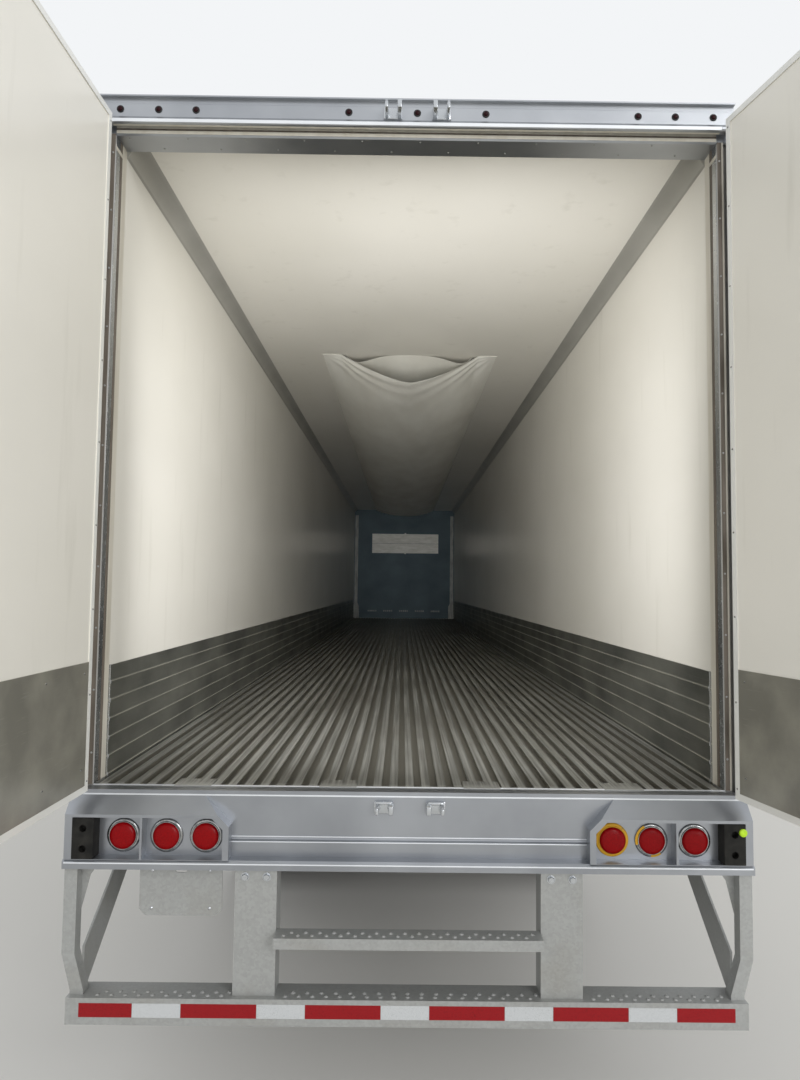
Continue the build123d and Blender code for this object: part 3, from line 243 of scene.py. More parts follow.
def extruded(name, run, dark, light, metal=0.85, nodes=""):
    # mill-finish extrusion: satin, with fine die lines along its run
    lines = tuple(1600 if axis == run else 5 for axis in "xyz")
    return finish(name, light, 0.3, metal, mottle=(350, 4, dark, light),
                  sheen=(lines, 2, 0.24, 0.38), relief=(lines, 2, 0.000012), nodes=nodes)


def lampLens(name, code, dark):
    # pressed acrylic lens: one deep colour, with small prisms inside
    return finish(name, code, 0.3, specular=0.15, cells=(5, "F1", 0.0001, (0.1, code), (0.9, dark)))


def reflectiveTape(name, code, dark):
    # retroreflective film: flat colour with a net of small cells
    return finish(name, code, 0.32, specular=0.3,
                  cells=(4, "DISTANCE_TO_EDGE", 0.00005, (0.0, dark), (0.12, code)))


def dustLowDown(tree, place, sockets):
    # dust that thins out upwards, in the colour and the sheen
    height = addNode(tree, "SeparateXYZ", {"Vector": place}, "Z")
    low = addNode(tree, "MapRange", {"Value": height, "From Min": -0.1, "From Max": 0.7, "To Min": 0.45,
                                     "To Max": 0.0})
    dust = addNode(tree, "Math", {0: low, 1: grain(tree, place, (300, 500, 120), 5)},
                   operation="MULTIPLY")
    addNode(tree, "ValToRGB", {"Fac": dust}, into=sockets["Base Color"],
            stops=((0.05, "#e6e6e2"), (0.6, "#bdb8ac")))
    addNode(tree, "MapRange", {"Value": dust, "To Min": 0.26, "To Max": 0.6}, into=sockets["Roughness"])


def zincCrystals(tree, place, sockets):
    # zinc crystals 9 mm wide, and grime in places
    crystals = addNode(tree, "TexVoronoi", {"Vector": place, "Scale": 1000 / 9}, "Color")
    level = addNode(tree, "SeparateColor", {"Color": crystals})
    addNode(tree, "ValToRGB", {"Fac": level}, into=sockets["Base Color"],
            stops=((0.0, "#9b9c9a"), (1.0, "#a5a6a4")))
    addMarks(tree, sockets["Base Color"], grain(tree, place, 260, 6), (0.52, 0.8), (0.0, 0.45), "#8a867b")
    addNode(tree, "MapRange", {"Value": level, "To Min": 0.4, "To Max": 0.48},
            into=sockets["Roughness"])


def floorPaintedLight(tree, place, sockets):
    # the bars' rear ends get a painted highlight, and painted shade lies in the channels below their tops
    axes = addNode(tree, "SeparateXYZ", {"Vector": place}).node.outputs
    # painted highlight on the bars' rear ends
    addMarks(tree, sockets["Base Color"], axes["Y"], (rearFace + 0.04, rearFace + 0.1), (1.0, 0.0),
             "#b4b4b0")
    # painted shade in the channels below the bars' tops
    onTop = addNode(tree, "Math",
                    {0: axes["Z"], 1: groundLevel + (floorTop - 1.5) * millimetre},
                    operation="GREATER_THAN")
    addMarks(tree, sockets["Base Color"], onTop, (0.0, 1.0), (1.0, 0.0), "#8d8a80")


def ribCrestHighlights(tree, place, sockets):
    # the ribs' crests get an uneven painted highlight, and one rib stands every 75 mm above the floor
    height = addNode(tree, "SeparateXYZ", {"Vector": place}, "Z")
    fromRib = addNode(tree, "Math", {0: height, 1: groundLevel + 1.317}, operation="SUBTRACT")
    phase = addNode(tree, "Math", {0: fromRib, 1: 0.075}, operation="MODULO")
    away = addNode(tree, "Math", {0: phase, 1: 0.0375}, operation="SUBTRACT")
    near = addNode(tree, "Math", {0: away}, operation="ABSOLUTE")
    crest = addNode(tree, "MapRange", {"Value": near, "From Min": 0.0018, "From Max": 0.0045,
                                       "To Min": 1.0, "To Max": 0.0})
    uneven = addNode(tree, "Math", {0: crest, 1: grain(tree, place, (900, 320, 60), 4)},
                     operation="MULTIPLY")
    # painted highlight along each crest
    addMarks(tree, sockets["Base Color"], uneven, (0.0, 1.0), (0.0, 1.0), "#d6d3c6")


def wovenThreads(tree, place, sockets):
    # the threads are drawn about 12 mm apart, because the real 1 mm ones wouldn't show
    weft, warp = [addNode(tree, "TexWave", {"Vector": place, "Scale": 1000 / 40}, "Fac",
                          bands_direction=axis) for axis in "XY"]
    weave = addNode(tree, "Math", {0: weft, 1: warp}, operation="MULTIPLY")
    addNode(tree, "Bump", {"Height": weave, "Distance": 0.00012}, into=sockets["Normal"])


# gelcoat over glass mat, rolled flat: a glossy cream white with faint rub marks
lining = finish(
    "glassFibreLining", "#ebe8df", 0.24, specular=0.4, relief=((700, 900, 700), 1, 0.001),
    mottle=((1100, 1500, 900), 3, "#e6e3da", "#eeebe3"),
    marks=((90, 90, 800), 5, (0.62, 0.8), 0.22, "#bdb9ac"),
    nodes="door_left_panel door_right_panel side_wall_left side_wall_right roof_panel")
# pre-painted aluminium sheet on the sides and nose: smooth, bright white, a little dusty low down
skin = finish(
    "paintedSkin", "#e6e6e2", 0.28, coat=0.2, relief=((700, 600, 600), 1, 0.0015), pattern=dustLowDown,
    nodes="front_wall unit_housing")
extruded("extrusionHeader", "x", "#a3a6ab", "#b6b9bd", nodes="rear_header")
# painted highlights: a pale, nearly matt metal for the bright lines on the sill, the floor's edge and the
# header's lip
paintedHighlightMetal = extruded("paintedHighlightMetal", "x", "#d9dce0", "#e8ebee", 0.2)
# the ceiling coves: a grey well below the lining's white, as a band along the ceiling's corners
extruded("extrusionCove", "y", "#a19f98", "#aeaca5", 0.1, nodes="ceiling_coves")
extruded("extrusionSill", "x", "#989ba0", "#abaeb3", nodes="rear_sill")
extruded("extrusionAlong", "y", "#a9abad", "#babcbe", nodes="side_rails")
extruded("extrusionUpright", "z", "#a3a29f", "#b8b7b3", 0.5, nodes="rear_posts corner_posts")
# hot-dip zinc gone flat: pale grey, faintly mottled, with grime in places
galvanised = finish(
    "galvanisedSteel", "#9fa09e", 0.45, 0.35, pattern=zincCrystals,
    nodes="crossmembers guard_beam guard_posts guard_struts plate_bracket slider_rails"
          " door_left_hardware door_right_hardware service_connectors")
# bright zinc on castings and bolts: a soft mirror
zinc = finish("zincPlate", "#c4c7ca", 0.22, 0.9, sheen=(15, 4, 0.12, 0.36), relief=(4, 2, 0.0002))
# extruded floor: worn on the bars' tops, dusty in patches, painted shade in the channels, painted highlight
# at the rear ends
finish(
    "floorAluminium", "#7c7d7a", 0.4, 0.4, pattern=floorPaintedLight, sheen=((14, 500, 14), 4, 0.26, 0.56),
    mottle=((9, 900, 9), 5, "#767671", "#adada8", 0.35, 0.65),
    marks=((420, 900, 420), 4, (0.45, 0.7), 0.6, "#66625a"), nodes="floor_deck")
# rolled sheet gone grey with handling: smudges, long scratches, and a painted highlight on each rib's crest
finish(
    "scuffAluminium", "#77776f", 0.36, 0.45, pattern=ribCrestHighlights, sheen=((300, 300, 160), 5, 0.2, 0.52),
    mottle=((260, 420, 200), 6, "#5e5f5a", "#84847c", 0.35, 0.7),
    marks=((60, 240, 2.5), 2, (0.64, 0.74), 0.35, "#a3a198"), relief=((260, 600, 180), 1, 0.0005),
    nodes="scuff_liners")
# flat sheet at the doors' feet: smooth, greenish grey, with wiped smudges
finish(
    "doorSheet", "#96948a", 0.34, 0.4, mottle=(240, 7, "#8b8980", "#adaa9e", 0.4, 0.75),
    marks=((90, 90, 5), 3, (0.64, 0.74), 0.35, "#aaa89e"), sheen=(200, 5, 0.18, 0.5),
    nodes="door_left_scuff door_right_scuff")
# grey paint on the bulkhead's posts: flat, scraped by pallets
postFinish = finish(
    "postPaint", "#8d8e8b", 0.6, specular=0.2, mottle=((60, 60, 240), 6, "#868784", "#b4b5b0"),
    nodes="bulkhead_posts")
# moulded bulkhead: blue-grey, nearly dark at the far end of the load space
bulkheadFinish = finish(
    "bulkheadPaint", "#5b686e", 0.6, specular=0.15, relief=(6, 2, 0.00015),
    mottle=((500, 500, 400), 4, "#566369", "#637077"), nodes="bulkhead")
# moulded polyethylene leaf: off-white, slightly waxy
finish(
    "hatchPlastic", "#eceae3", 0.45, specular=0.3, relief=(5, 2, 0.0001),
    mottle=((160, 160, 40), 4, "#dad8cf", "#f0eee8"), nodes="bulkhead_panels")
# sealant and vinyl strips in the door frame: flat grey-brown
sealFinish = finish(
    "sealStrip", "#6b635a", 0.6, specular=0.25, mottle=((30, 30, 300), 5, "#5c554d", "#7d746a"))
# vinyl strips round the opening: flat cream, dulled
vinyl = finish(
    "trimVinyl", "#cfcabd", 0.5, specular=0.3, mottle=((50, 50, 400), 5, "#c6c0b2", "#d6d2c7"))
# moulded cap: bright yellow-green
lime = finish("limePlastic", "#b4dc1e", 0.4, mottle=(12, 3, "#a8d016", "#bce42a"))
# vinyl-coated polyester: thin and milky, creased where it is gathered
cloth = finish(
    "chuteCloth", "#f1efe8", 0.5, specular=0.3, pattern=wovenThreads,
    mottle=((240, 800, 240), 4, "#e9e7df", "#f6f5ee"))
redLens = lampLens("redLens", "#8c0308", "#7c0106")
darkRedLens = lampLens("darkRedLens", "#2c0a10", "#1b0508")
amberLens = lampLens("amberLens", "#d8740e", "#8c3f02")
# plated bezel, dulled by weather: a grey mirror
chrome = finish(
    "chromePlate", "#a6a7a7", 0.2, 1.0, mottle=(22, 5, "#8b8c8c", "#bbbcbc", 0.35, 0.65),
    sheen=(15, 4, 0.1, 0.36))
# paint on one lamp's ring: flat yellow, chipped to the metal's grey
ochre = finish("ochrePaint", "#c89a2c", 0.5, specular=0.3, mottle=(28, 6, "#8d7a4c", "#cd9c2a", 0.32, 0.45))
# moulded rubber: matt, greyed by dust
rubber = finish(
    "blackRubber", "#1a1a19", 0.65, specular=0.2, mottle=(40, 6, "#131312", "#292825"),
    relief=(3, 3, 0.0002), nodes="dock_pads mud_flaps")
# tyre rubber: near black in the grooves, browned by road dust on the walls
tyreFinish = finish(
    "tyreRubber", "#1d1d1c", 0.7, specular=0.3, mottle=(60, 7, "#191918", "#3a3733", 0.4, 0.75),
    sheen=(60, 7, 0.5, 0.95), relief=(2.5, 3, 0.00025))
# powder coat on steel: smooth white with brake dust
wheelFinish = finish("wheelPaint", "#d6d6d2", 0.3, coat=0.3, mottle=(50, 7, "#dad9d5", "#a8a095", 0.5, 0.85))
# black chassis paint: satin, with road film
chassis = finish(
    "chassisPaint", "#1f2021", 0.42, specular=0.35, mottle=(130, 7, "#1b1c1d", "#46423b", 0.45, 0.8),
    sheen=(130, 7, 0.2, 0.8), relief=(4, 3, 0.00012),
    nodes="coupler landing_legs landing_braces bogie_frame bogie_crossmembers trailing_arms axles"
          " brake_chambers")
# sand-cast block: rough and dark
finish(
    "castIron", "#4b4a47", 0.6, 0.7, mottle=(30, 6, "#3d3c3a", "#5b5750"), relief=(2, 4, 0.0004),
    nodes="unit_engine")
# polished tank: mirror with rolling marks round it
finish(
    "tankAluminium", "#cfd0d0", 0.14, 1.0, sheen=((400, 3, 400), 2, 0.05, 0.3),
    relief=((400, 3, 400), 2, 0.00003), nodes="fuel_tank")
# glass-filled polypropylene: black, fine grained
grilleFinish = finish(
    "grillePlastic", "#1c1d1e", 0.5, specular=0.3, mottle=(90, 5, "#191a1b", "#2b2b2a"),
    relief=(1.5, 2, 0.0001), nodes="unit_grille")
# laminated floor core: grey-brown composite edge
finish(
    "foamCore", "#77736a", 0.8, specular=0.3, mottle=((60, 60, 8), 6, "#67635a", "#87837a"),
    relief=(3, 3, 0.0004), nodes="floor_core")
redTape = reflectiveTape("redTape", "#910d15", "#700910")
whiteTape = reflectiveTape("whiteTape", "#bfc1c2", "#a5a8a9")

print("materials made")


# Modelling helpers

def only(*pieces):
    bpy.ops.object.select_all(action="DESELECT")
    for piece in pieces:
        piece.select_set(True)
    bpy.context.view_layer.objects.active = pieces[0]


def discard(*pieces):
    for piece in pieces:
        bpy.data.objects.remove(piece)


def added(primitive, **settings):
    bpy.ops.object.select_all(action="DESELECT")
    primitive(**settings)
    return bpy.context.object


def mode(name):
    bpy.ops.object.mode_set(mode=name)


def settle(piece):
    only(piece)
    bpy.ops.object.transform_apply(location=True, rotation=True, scale=True)
    return piece


def applied(piece, kind, **settings):
    only(piece)
    modifier = piece.modifiers.new(kind.lower(), kind)
    for name, value in settings.items():
        setattr(modifier, name, value)
    bpy.ops.object.modifier_apply(modifier=modifier.name)
    return piece


def blockPiece(low, high, edge=0.0, steps=2):
    # a block between two corners, with its edges rounded by so many millimetres
    piece = added(bpy.ops.mesh.primitive_cube_add, size=1, location=(low + high) / 2)
    piece.scale = high - low
    settle(piece)
    if edge:
        applied(piece, "BEVEL", width=edge * millimetre, segments=steps)
    return piece


def block(xs, ys, zs, edge=0.0, steps=2, side=1):
    # the same from its spans in millimetres, where side -1 mirrors it to the left
    left, right = sorted(side * x for x in xs)
    return blockPiece(at(left, ys[0], zs[0]), at(right, ys[1], zs[1]), edge, steps)


def turnedPiece(profile, steps, place=Matrix.Identity(4), closed=False):
    # profile: (along, radius) pairs in millimetres up the local Z axis, each ring extruded from the last
    along, radius = profile[0]
    piece = settle(added(bpy.ops.mesh.primitive_circle_add, vertices=steps, radius=radius * millimetre,
                         fill_type="NOTHING" if closed else "NGON", location=(0, 0, along * millimetre)))
    mode("EDIT")
    bpy.ops.mesh.select_all(action="SELECT")
    extrude = bpy.ops.mesh.extrude_edges_move if closed else bpy.ops.mesh.extrude_region_move
    for before, after in zip(profile, profile[1:]):
        extrude(TRANSFORM_OT_translate={"value": (0, 0, (after[0] - before[0]) * millimetre)})
        ratio = after[1] / before[1]
        bpy.ops.transform.resize(value=(ratio, ratio, 1), center_override=(0, 0, after[0] * millimetre))
    bpy.ops.mesh.select_all(action="SELECT")
    bpy.ops.mesh.remove_doubles(threshold=0.00002)
    bpy.ops.mesh.normals_make_consistent(inside=False)
    mode("OBJECT")
    piece.data.transform(place)
    return piece


def facing(direction, origin):
    # a place at origin whose local Z axis points along the direction
    turn = Vector(direction).to_track_quat("Z", "Y").to_matrix().to_4x4()
    return Matrix.Translation(origin) @ turn


def rearward(*place):
    return facing((0, -1, 0), at(*place))


def copied(source, place):
    piece = source.copy()
    piece.data = source.data.copy()
    bpy.context.scene.collection.objects.link(piece)
    piece.data.transform(place)
    if place.determinant() < 0:
        piece.data.flip_normals()
    return piece


mirrorX = Matrix.Scale(-1, 4, (1, 0, 0))


def joined(pieces):
    only(*pieces)
    if len(pieces) > 1:
        bpy.ops.object.join()
    return bpy.context.object


def dressed(name, pieces, material=None, angle=40, body="trailer"):
    # the finished piece: one mesh, smooth up to the angle, riding on its body
    piece = joined(pieces)
    piece.name = name
    if material:
        painted(piece, material)
    only(piece)
    bpy.ops.object.shade_smooth_by_angle(angle=math.radians(angle))
    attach(piece, body)
    return piece


def rivetHead(radius):
    return turnedPiece([(0, radius), (radius * 0.35, radius * 0.92), (radius * 0.62, radius * 0.5)], 8)


def row(head, start, end, pitch, direction):
    # copies of a head from start to end, evenly spaced at about the pitch, facing the direction
    start, end = at(*start), at(*end)
    count = max(2, round((end - start).length / (pitch * millimetre)) + 1)
    piece = copied(head, facing(direction, start))
    return applied(piece, "ARRAY", count=count, use_relative_offset=False, use_constant_offset=True,
                   constant_offset_displace=(end - start) / (count - 1))


def hexHead(width, height):
    # a bolt head on its washer, with the corners turned off
    radius = width / math.sqrt(3)
    head = turnedPiece([(2, radius), (height * 0.8, radius), (height, radius * 0.85)], 6)
    washer = turnedPiece([(0, width * 0.75), (2.2, width * 0.75)], 16)
    return joined([head, washer])


# Tyres and wheels

tyre = {
    "steps": 120,
    "wall": ((105, 292), (111, 299), (123, 318), (131, 340), (134, 341), (134, 345), (132.5, 346),
             (139, 375), (141, 400), (140, 425), (137, 448), (138.5, 449), (138.5, 453), (136, 454),
             (131, 470), (127, 480), (122, 488), (113, 499)),
    "grooves": (66, 23, -23, -66), "grooveHalf": 5.5, "grooveDepth": 13, "crownHalf": 104, "crownDrop": 2.5,
    "dualOffset": 168, "shoulder": (104, 122), "slotPitch": 6, "slotDepth": 5,
}


def tyreProfile():
    # bead, wall with two mould lines, shoulder, ribs and grooves, then the same back to the other bead
    wall = [*tyre["wall"], (tyre["crownHalf"], tyreRadius - tyre["crownDrop"] - 1)]
    half = tyre["grooveHalf"]
    crown = []
    for middle in tyre["grooves"]:
        for x, deep in ((half, 0), (half - 2, 1), (2 - half, 1), (-half, 0)):
            drop = tyre["crownDrop"] * ((middle + x) / tyre["crownHalf"]) ** 2
            crown.append((middle + x, tyreRadius - drop - deep * tyre["grooveDepth"]))
    return wall + crown + [(-x, radius) for x, radius in reversed(wall)] + [wall[0]]


def makeTyres():
    one = turnedPiece(tyreProfile(), tyre["steps"], Matrix.Rotation(math.radians(90), 4, "Y"), closed=True)
    # shallow slots cut across both shoulders
    only(one)
    mode("EDIT")
    bpy.ops.mesh.select_all(action="DESELECT")
    mode("OBJECT")
    for face in one.data.polygons:
        across = abs(face.center.x) / millimetre
        turn = math.degrees(math.atan2(face.center.z, face.center.y)) % tyre["slotPitch"]
        face.select = tyre["shoulder"][0] < across < tyre["shoulder"][1] and turn < tyre["slotPitch"] / 2
    mode("EDIT")
    bpy.ops.mesh.inset(thickness=0.0006, use_individual=False)
    bpy.ops.transform.shrink_fatten(value=-tyre["slotDepth"] * millimetre)
    mode("OBJECT")
    for name, (side, axle) in wheelPlaces.items():
        pair = [copied(one, Matrix.Translation(at(side * (wheelX + offset), axle, tyreRadius)))
                for offset in (-tyre["dualOffset"], tyre["dualOffset"])]
        piece = dressed(f"treadedTyres_{name}", pair, tyreFinish, 30, f"wheels_{name}")
        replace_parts(piece, f"tyres_{name}")
    discard(one)


wheel = {
    "steps": 64,
    "lip": ((273, 292), (279, 300), (280, 304), (278, 305), (276, 303), (270, 288), (262, 281), (236, 279),
            (200, 274), (150, 271), (110, 266), (84, 254), (64, 238), (48, 218), (36, 196), (29, 176),
            (26, 165), (26, 100)),
    "drum": ((-240, 198), (-240, 213), (-226, 213), (-224, 208), (-60, 208), (-40, 213), (-20, 180),
             (24, 120), (24, 118), (30, 112), (34, 112), (40, 92), (112, 84), (116, 80), (138, 79),
             (146, 75), (150, 68), (150, 34), (147, 32), (147, 4)),
    # how many, how far from the middle and how far out, with their width and height across the flats
    "nuts": (10, 142.9, 26, 33, 27), "capBolts": (6, 50, 149, 13, 7), "handHoles": 10,
    "handHoleCircle": 213, "handHoleRadius": 27,
}


def wheelCasting():
    # twin discs back to back, with the drum, hub and cap, turned round the local Z axis
    lip = list(wheel["lip"])
    discs = turnedPiece(lip + [(-x, radius) for x, radius in reversed(lip)] + lip[:1], wheel["steps"],
                        closed=True)
    holes = []
    hole = turnedPiece([(20, wheel["handHoleRadius"]), (110, wheel["handHoleRadius"])], 20)
    for side in (-1, 1):
        for k in range(wheel["handHoles"]):
            turn = Matrix.Rotation(math.tau * (k + 0.5) / wheel["handHoles"], 4, "Z")
            place = turn @ Matrix.Translation(mm(wheel["handHoleCircle"], 0, 0))
            holes.append(painted(copied(hole, Matrix.Scale(side, 4, (0, 0, 1)) @ place), chassis))
    cutter = joined(holes)
    painted(discs, wheelFinish)
    discs.data.materials.append(chassis)
    applied(discs, "BOOLEAN", operation="DIFFERENCE", solver="EXACT", object=cutter, material_mode="TRANSFER")
    discard(hole, cutter)
    return discs, painted(turnedPiece(wheel["drum"], wheel["steps"]), chassis)


def makeWheels():
    parts = list(wheelCasting())
    for count, circle, out, width, height in (wheel["nuts"], wheel["capBolts"]):
        head = hexHead(width, height)
        for k in range(count):
            turn = Matrix.Rotation(math.tau * k / count, 4, "Z")
            parts.append(painted(copied(head, turn @ Matrix.Translation(mm(circle, 0, out))), galvanised))
        discard(head)
    one = joined(parts)
    for name, (side, axle) in wheelPlaces.items():
        place = facing((side, 0, 0), at(side * wheelX, axle, tyreRadius))
        piece = dressed(f"discWheels_{name}", [copied(one, place)], None, 30, f"wheels_{name}")
        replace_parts(piece, f"rims_{name}")
    discard(one)


makeTyres()
makeWheels()
print("tyres and wheels made")


# Lamps

tailLamp = {
    "places": (773, 923, 1087), "rise": 110, "face": -20, "flange": 63, "lens": 51, "yellowRing": 773,
}


def makeTailLamps():
    lenses, rings, yellow = [], [], []
    lens, flange = tailLamp["lens"], tailLamp["flange"]
    for side in (-1, 1):
        for x in tailLamp["places"]:
            place = rearward(side * x, tailLamp["face"], sillBottom + tailLamp["rise"])
            lenses.append(turnedPiece([(3, lens - 1), (14, lens - 1), (19, lens - 4), (23, lens - 12),
                                       (25.4, lens - 26), (26, lens - 42)], 40, place))
            ring = turnedPiece([(0, flange), (3, flange), (6, flange - 2), (7.5, flange - 5), (8, lens + 3),
                                (12, lens + 1.5), (12, lens - 2)], 40, place)
            (yellow if side * x == tailLamp["yellowRing"] else rings).append(ring)
    piece = dressed("tailLampLenses", lenses, redLens)
    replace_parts(piece, "tail_lamps")
    dressed("tailLampRings", rings, chrome)
    dressed("tailLampYellowRing", yellow, ochre)


marker = {
    "across": (-1207, -1052, -900, -279, 0, 279, 900, 1052, 1207), "rise": headerTop - 58, "tall": 30,
    # from where and how far in x and y, and the height
    "red": ((halfWidth, 7, 300, 100, sillBottom + 147),),
    "amber": ((halfWidth, 7, 8000, 100, sillBottom + 147), (halfWidth, 7, 15579, 100, sillBottom + 147),
              (halfWidth - 215.5, 100, 16079, 7, headerTop - 73)),
}


def makeMarkerLamps():
    lenses, rings, amber = [], [], []
    for x in marker["across"]:
        place = rearward(x, 0, marker["rise"])
        lenses.append(turnedPiece([(1, 10.5), (4, 10.5), (7.5, 8), (9, 4)], 20, place))
        rings.append(turnedPiece([(0, 15), (2, 15), (3.5, 13), (3.6, 10)], 20, place))
    for kind, boxes in ((lenses, marker["red"]), (amber, marker["amber"])):
        kind += [block((x, x + wide), (y, y + long), (z, z + marker["tall"]), 3, 3, side)
                 for side in (-1, 1) for x, wide, y, long, z in boxes]
    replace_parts(dressed("redMarkerLenses", lenses, darkRedLens), "marker_lamps_red")
    dressed("redMarkerRings", rings, grilleFinish)
    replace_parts(dressed("amberMarkerLenses", amber, amberLens), "marker_lamps_amber")


makeTailLamps()
makeMarkerLamps()
print("lamps made")


# Reflective tape on the guard and the lower rails

tape = {
    "face": -85, "height": 50, "middle": 567, "thickness": 0.6, "gap": 0.5, "red": 279, "pitch": 457.2,
    "firstRed": -835.5, "end": 1210, "shortest": 20, "sideMiddle": 1385, "sideStart": 300, "sideEnd": 15900,
    "sideGap": 1350,
}


def makeTape():
    red, white = [], []
    face, half, thick, gap = tape["face"], tape["height"] / 2, tape["thickness"], tape["gap"]
    heights = (tape["middle"] - half, tape["middle"] + half)
    x = tape["firstRed"] - tape["pitch"]
    while x < tape["end"]:
        for start, end, kind in ((x, x + tape["red"], red), (x + tape["red"], x + tape["pitch"], white)):
            start, end = max(start, -tape["end"]), min(end, tape["end"])
            if end - start > tape["shortest"]:
                kind.append(block((start + gap, end - gap), (face - thick, face), heights, 0.2, 1))
        x += tape["pitch"]
    heights = (tape["sideMiddle"] - half, tape["sideMiddle"] + half)
    for side in (-1, 1):
        y = tape["sideStart"]
        while y < tape["sideEnd"] - tape["pitch"]:
            for start, end, kind in ((y, y + tape["red"], red), (y + tape["red"], y + tape["pitch"], white)):
                kind.append(block((halfWidth, halfWidth + thick), (start + gap, end - gap), heights,
                                  0.2, 1, side))
            y += tape["sideGap"]
    dressed("redTapeStrips", red, redTape, 35)
    dressed("whiteTapeStrips", white, whiteTape, 35)


makeTape()
print("tape made")


# Rear guard: raised grips, bolts, and the blank plate's screws

grip = {
    "pitch": 52,
    # spans across, the two rows' places along, and the height of the tread
    "treads": (
        (((-1150, -690), (-455, 455), (690, 1150)), (-62, -38), 610),
        (((-460, 434),), (-100, -76), 846),
    ),
}


def makeGrips():
    # buttons pressed up through the tread, open at the top
    button = turnedPiece([(0, 9.5), (1.5, 8), (3.2, 6), (4.2, 5.2), (4.2, 3.2), (2.0, 2.6), (0.4, 2.6)], 14)
    rows = []
    for spans, places, z in grip["treads"]:
        for line, y in enumerate(places):
            shift = grip["pitch"] / 2 * line
            for start, end in spans:
                rows.append(row(button, (start + shift, y, z), (end + shift, y, z), grip["pitch"], (0, 0, 1)))
    discard(button)
    dressed("gripButtons", rows, galvanised)


def makeGuardBolts():
    bolt, small = hexHead(22, 12), rivetHead(6)
    heads = []
    for side in (-1, 1):
        for x in (postInner + 38, postOuter - 38):
            heads.append(copied(bolt, rearward(side * x, -60, sillBottom - 26)))
    for x in (-980, -759):
        for z in (sillBottom - 28, sillBottom - 168):
            heads.append(copied(small, rearward(x, -2, z)))
    discard(bolt, small)
    dressed("guardBolts", heads, zinc, 30)


def makeCap():
    # a moulded cap at the upper bolt of the right dock pad
    cap = turnedPiece([(-2, 15), (3, 15), (5.5, 13), (6.5, 8)], 28, rearward(1250, -80, 1226))
    dressed("padCap", [cap], lime)


keeper = {
    "rod": 99, "near": 20, "inner": (15, 46), "outer": (10, 34), "height": 46, "front": -72.5, "proud": 1.2,
    "narrowing": 0.66, "plateHalf": 38, "plate": 6, "capHalf": 31, "capReach": 24,
    # the faces that they stand on, with their lower ends
    "faces": ((0, 4029), (-20, 1267)),
}


def makeKeepers():
    # cast over the frame's own cheeks, with rounded edges, and a cap across each pair on the sill
    castings = []
    rod, proud, plate, cap = keeper["rod"], keeper["proud"], keeper["plateHalf"], keeper["capHalf"]
    for face, low in keeper["faces"]:
        high = low + keeper["height"]
        middle = at(0, 0, low + keeper["height"] / 2).z
        for side in (-1, 1):
            castings.append(block((rod - plate, rod + plate), (face - keeper["plate"] - proud, face + 1),
                                  (low - 1, high + 1), 4, 3, side))
            for towards, (thick, tall) in ((-1, keeper["inner"]), (1, keeper["outer"])):
                near = rod + towards * keeper["near"]
                cheek = block((near - towards * proud, near + towards * (thick + proud)),
                              (keeper["front"] - proud, face), (low - proud, low + tall + proud), side=side)
                # the front end is narrower, as on the frame
                for vertex in cheek.data.vertices:
                    if vertex.co.y < at(0, face - 10, 0).y:
                        vertex.co.z = middle + (vertex.co.z - middle) * keeper["narrowing"]
                castings.append(applied(cheek, "BEVEL", width=3 * millimetre, segments=3))
            if face:
                castings.append(block((rod - cap, rod + cap), (face - keeper["capReach"], face),
                                      (high - 9, high + 2), 4, 3, side))
    dressed("lockKeepers", castings, zinc)


makeGrips()
makeGuardBolts()
makeCap()
makeKeepers()
print("guard details and keepers made")


# Seams, rivets and trim in the frame, sides, nose and roof

bodyStart, bodyEnd = 165, 15979
wallOuter = halfWidth - 7.5
seam = {"count": 12, "half": 26, "thickness": 1.6, "top": 3982, "ridgePitch": 608, "ridgeHalf": 14}
seamPlaces = [bodyStart + (bodyEnd - bodyStart) * k / (seam["count"] + 1)
              for k in range(1, seam["count"] + 1)]


def makeSeams():
    # lap strips over the joints of the side sheets, and pressed ridges across the roof
    half = seam["half"]
    strips = [block((wallOuter - 0.4, wallOuter + seam["thickness"]), (y - half, y + half),
                    (floorTop + 76, seam["top"]), 0.8, 1, side) for side in (-1, 1) for y in seamPlaces]
    dressed("sideSeams", strips, skin, 35)
    ridges = []
    y = bodyStart + seam["ridgePitch"]
    while y < bodyEnd - 100:
        ridges.append(block((-wallInner, wallInner), (y - seam["ridgeHalf"], y + seam["ridgeHalf"]),
                            (roofTop - 1, roofTop + 3), 1.5))
        y += seam["ridgePitch"]
    dressed("roofRidges", ridges, skin, 35)


rivet = {
    "frameRadius": 4.5, "sideRadius": 5.5, "seamPitch": 60, "railPitch": 110, "jambPitch": 241,
    "railHeights": (1340, 1240, 4070, 4010), "nose": 16079,
}


def makeRivets():
    small, large = rivetHead(rivet["frameRadius"]), rivetHead(rivet["sideRadius"])
    jambPitch, railPitch = rivet["jambPitch"], rivet["railPitch"]
    # on the jambs' dark strips, and two staggered rows under the header
    heads = [row(small, (x, 44, 1470), (x, 44, 3900), jambPitch, (0, -1, 0)) for x in (-1248, 1248)]
    heads += [row(small, (shift - 1190, y, 3975), (shift + 978, y, 3975), jambPitch, (0, 0, -1))
              for y, shift in ((66, 0), (138, jambPitch / 2))]
    dressed("frameRivets", heads, galvanised, 60)
    heads = []
    for side in (-1, 1):
        out = (side, 0, 0)
        x = side * (wallOuter + seam["thickness"])
        heads += [row(large, (x, y + shift, 1450), (x, y + shift, 3960), rivet["seamPitch"], out)
                  for y in seamPlaces for shift in (-14, 14)]
        x = side * halfWidth
        heads += [row(large, (x, bodyStart + 60, z), (x, bodyEnd - 60, z), railPitch, out)
                  for z in rivet["railHeights"]]
        x = side * (wallInner - 60)
        heads.append(row(large, (x, rivet["nose"], 1260), (x, rivet["nose"], 4050), railPitch, (0, 1, 0)))
    discard(small, large)
    dressed("skinRivets", heads, skin, 60)


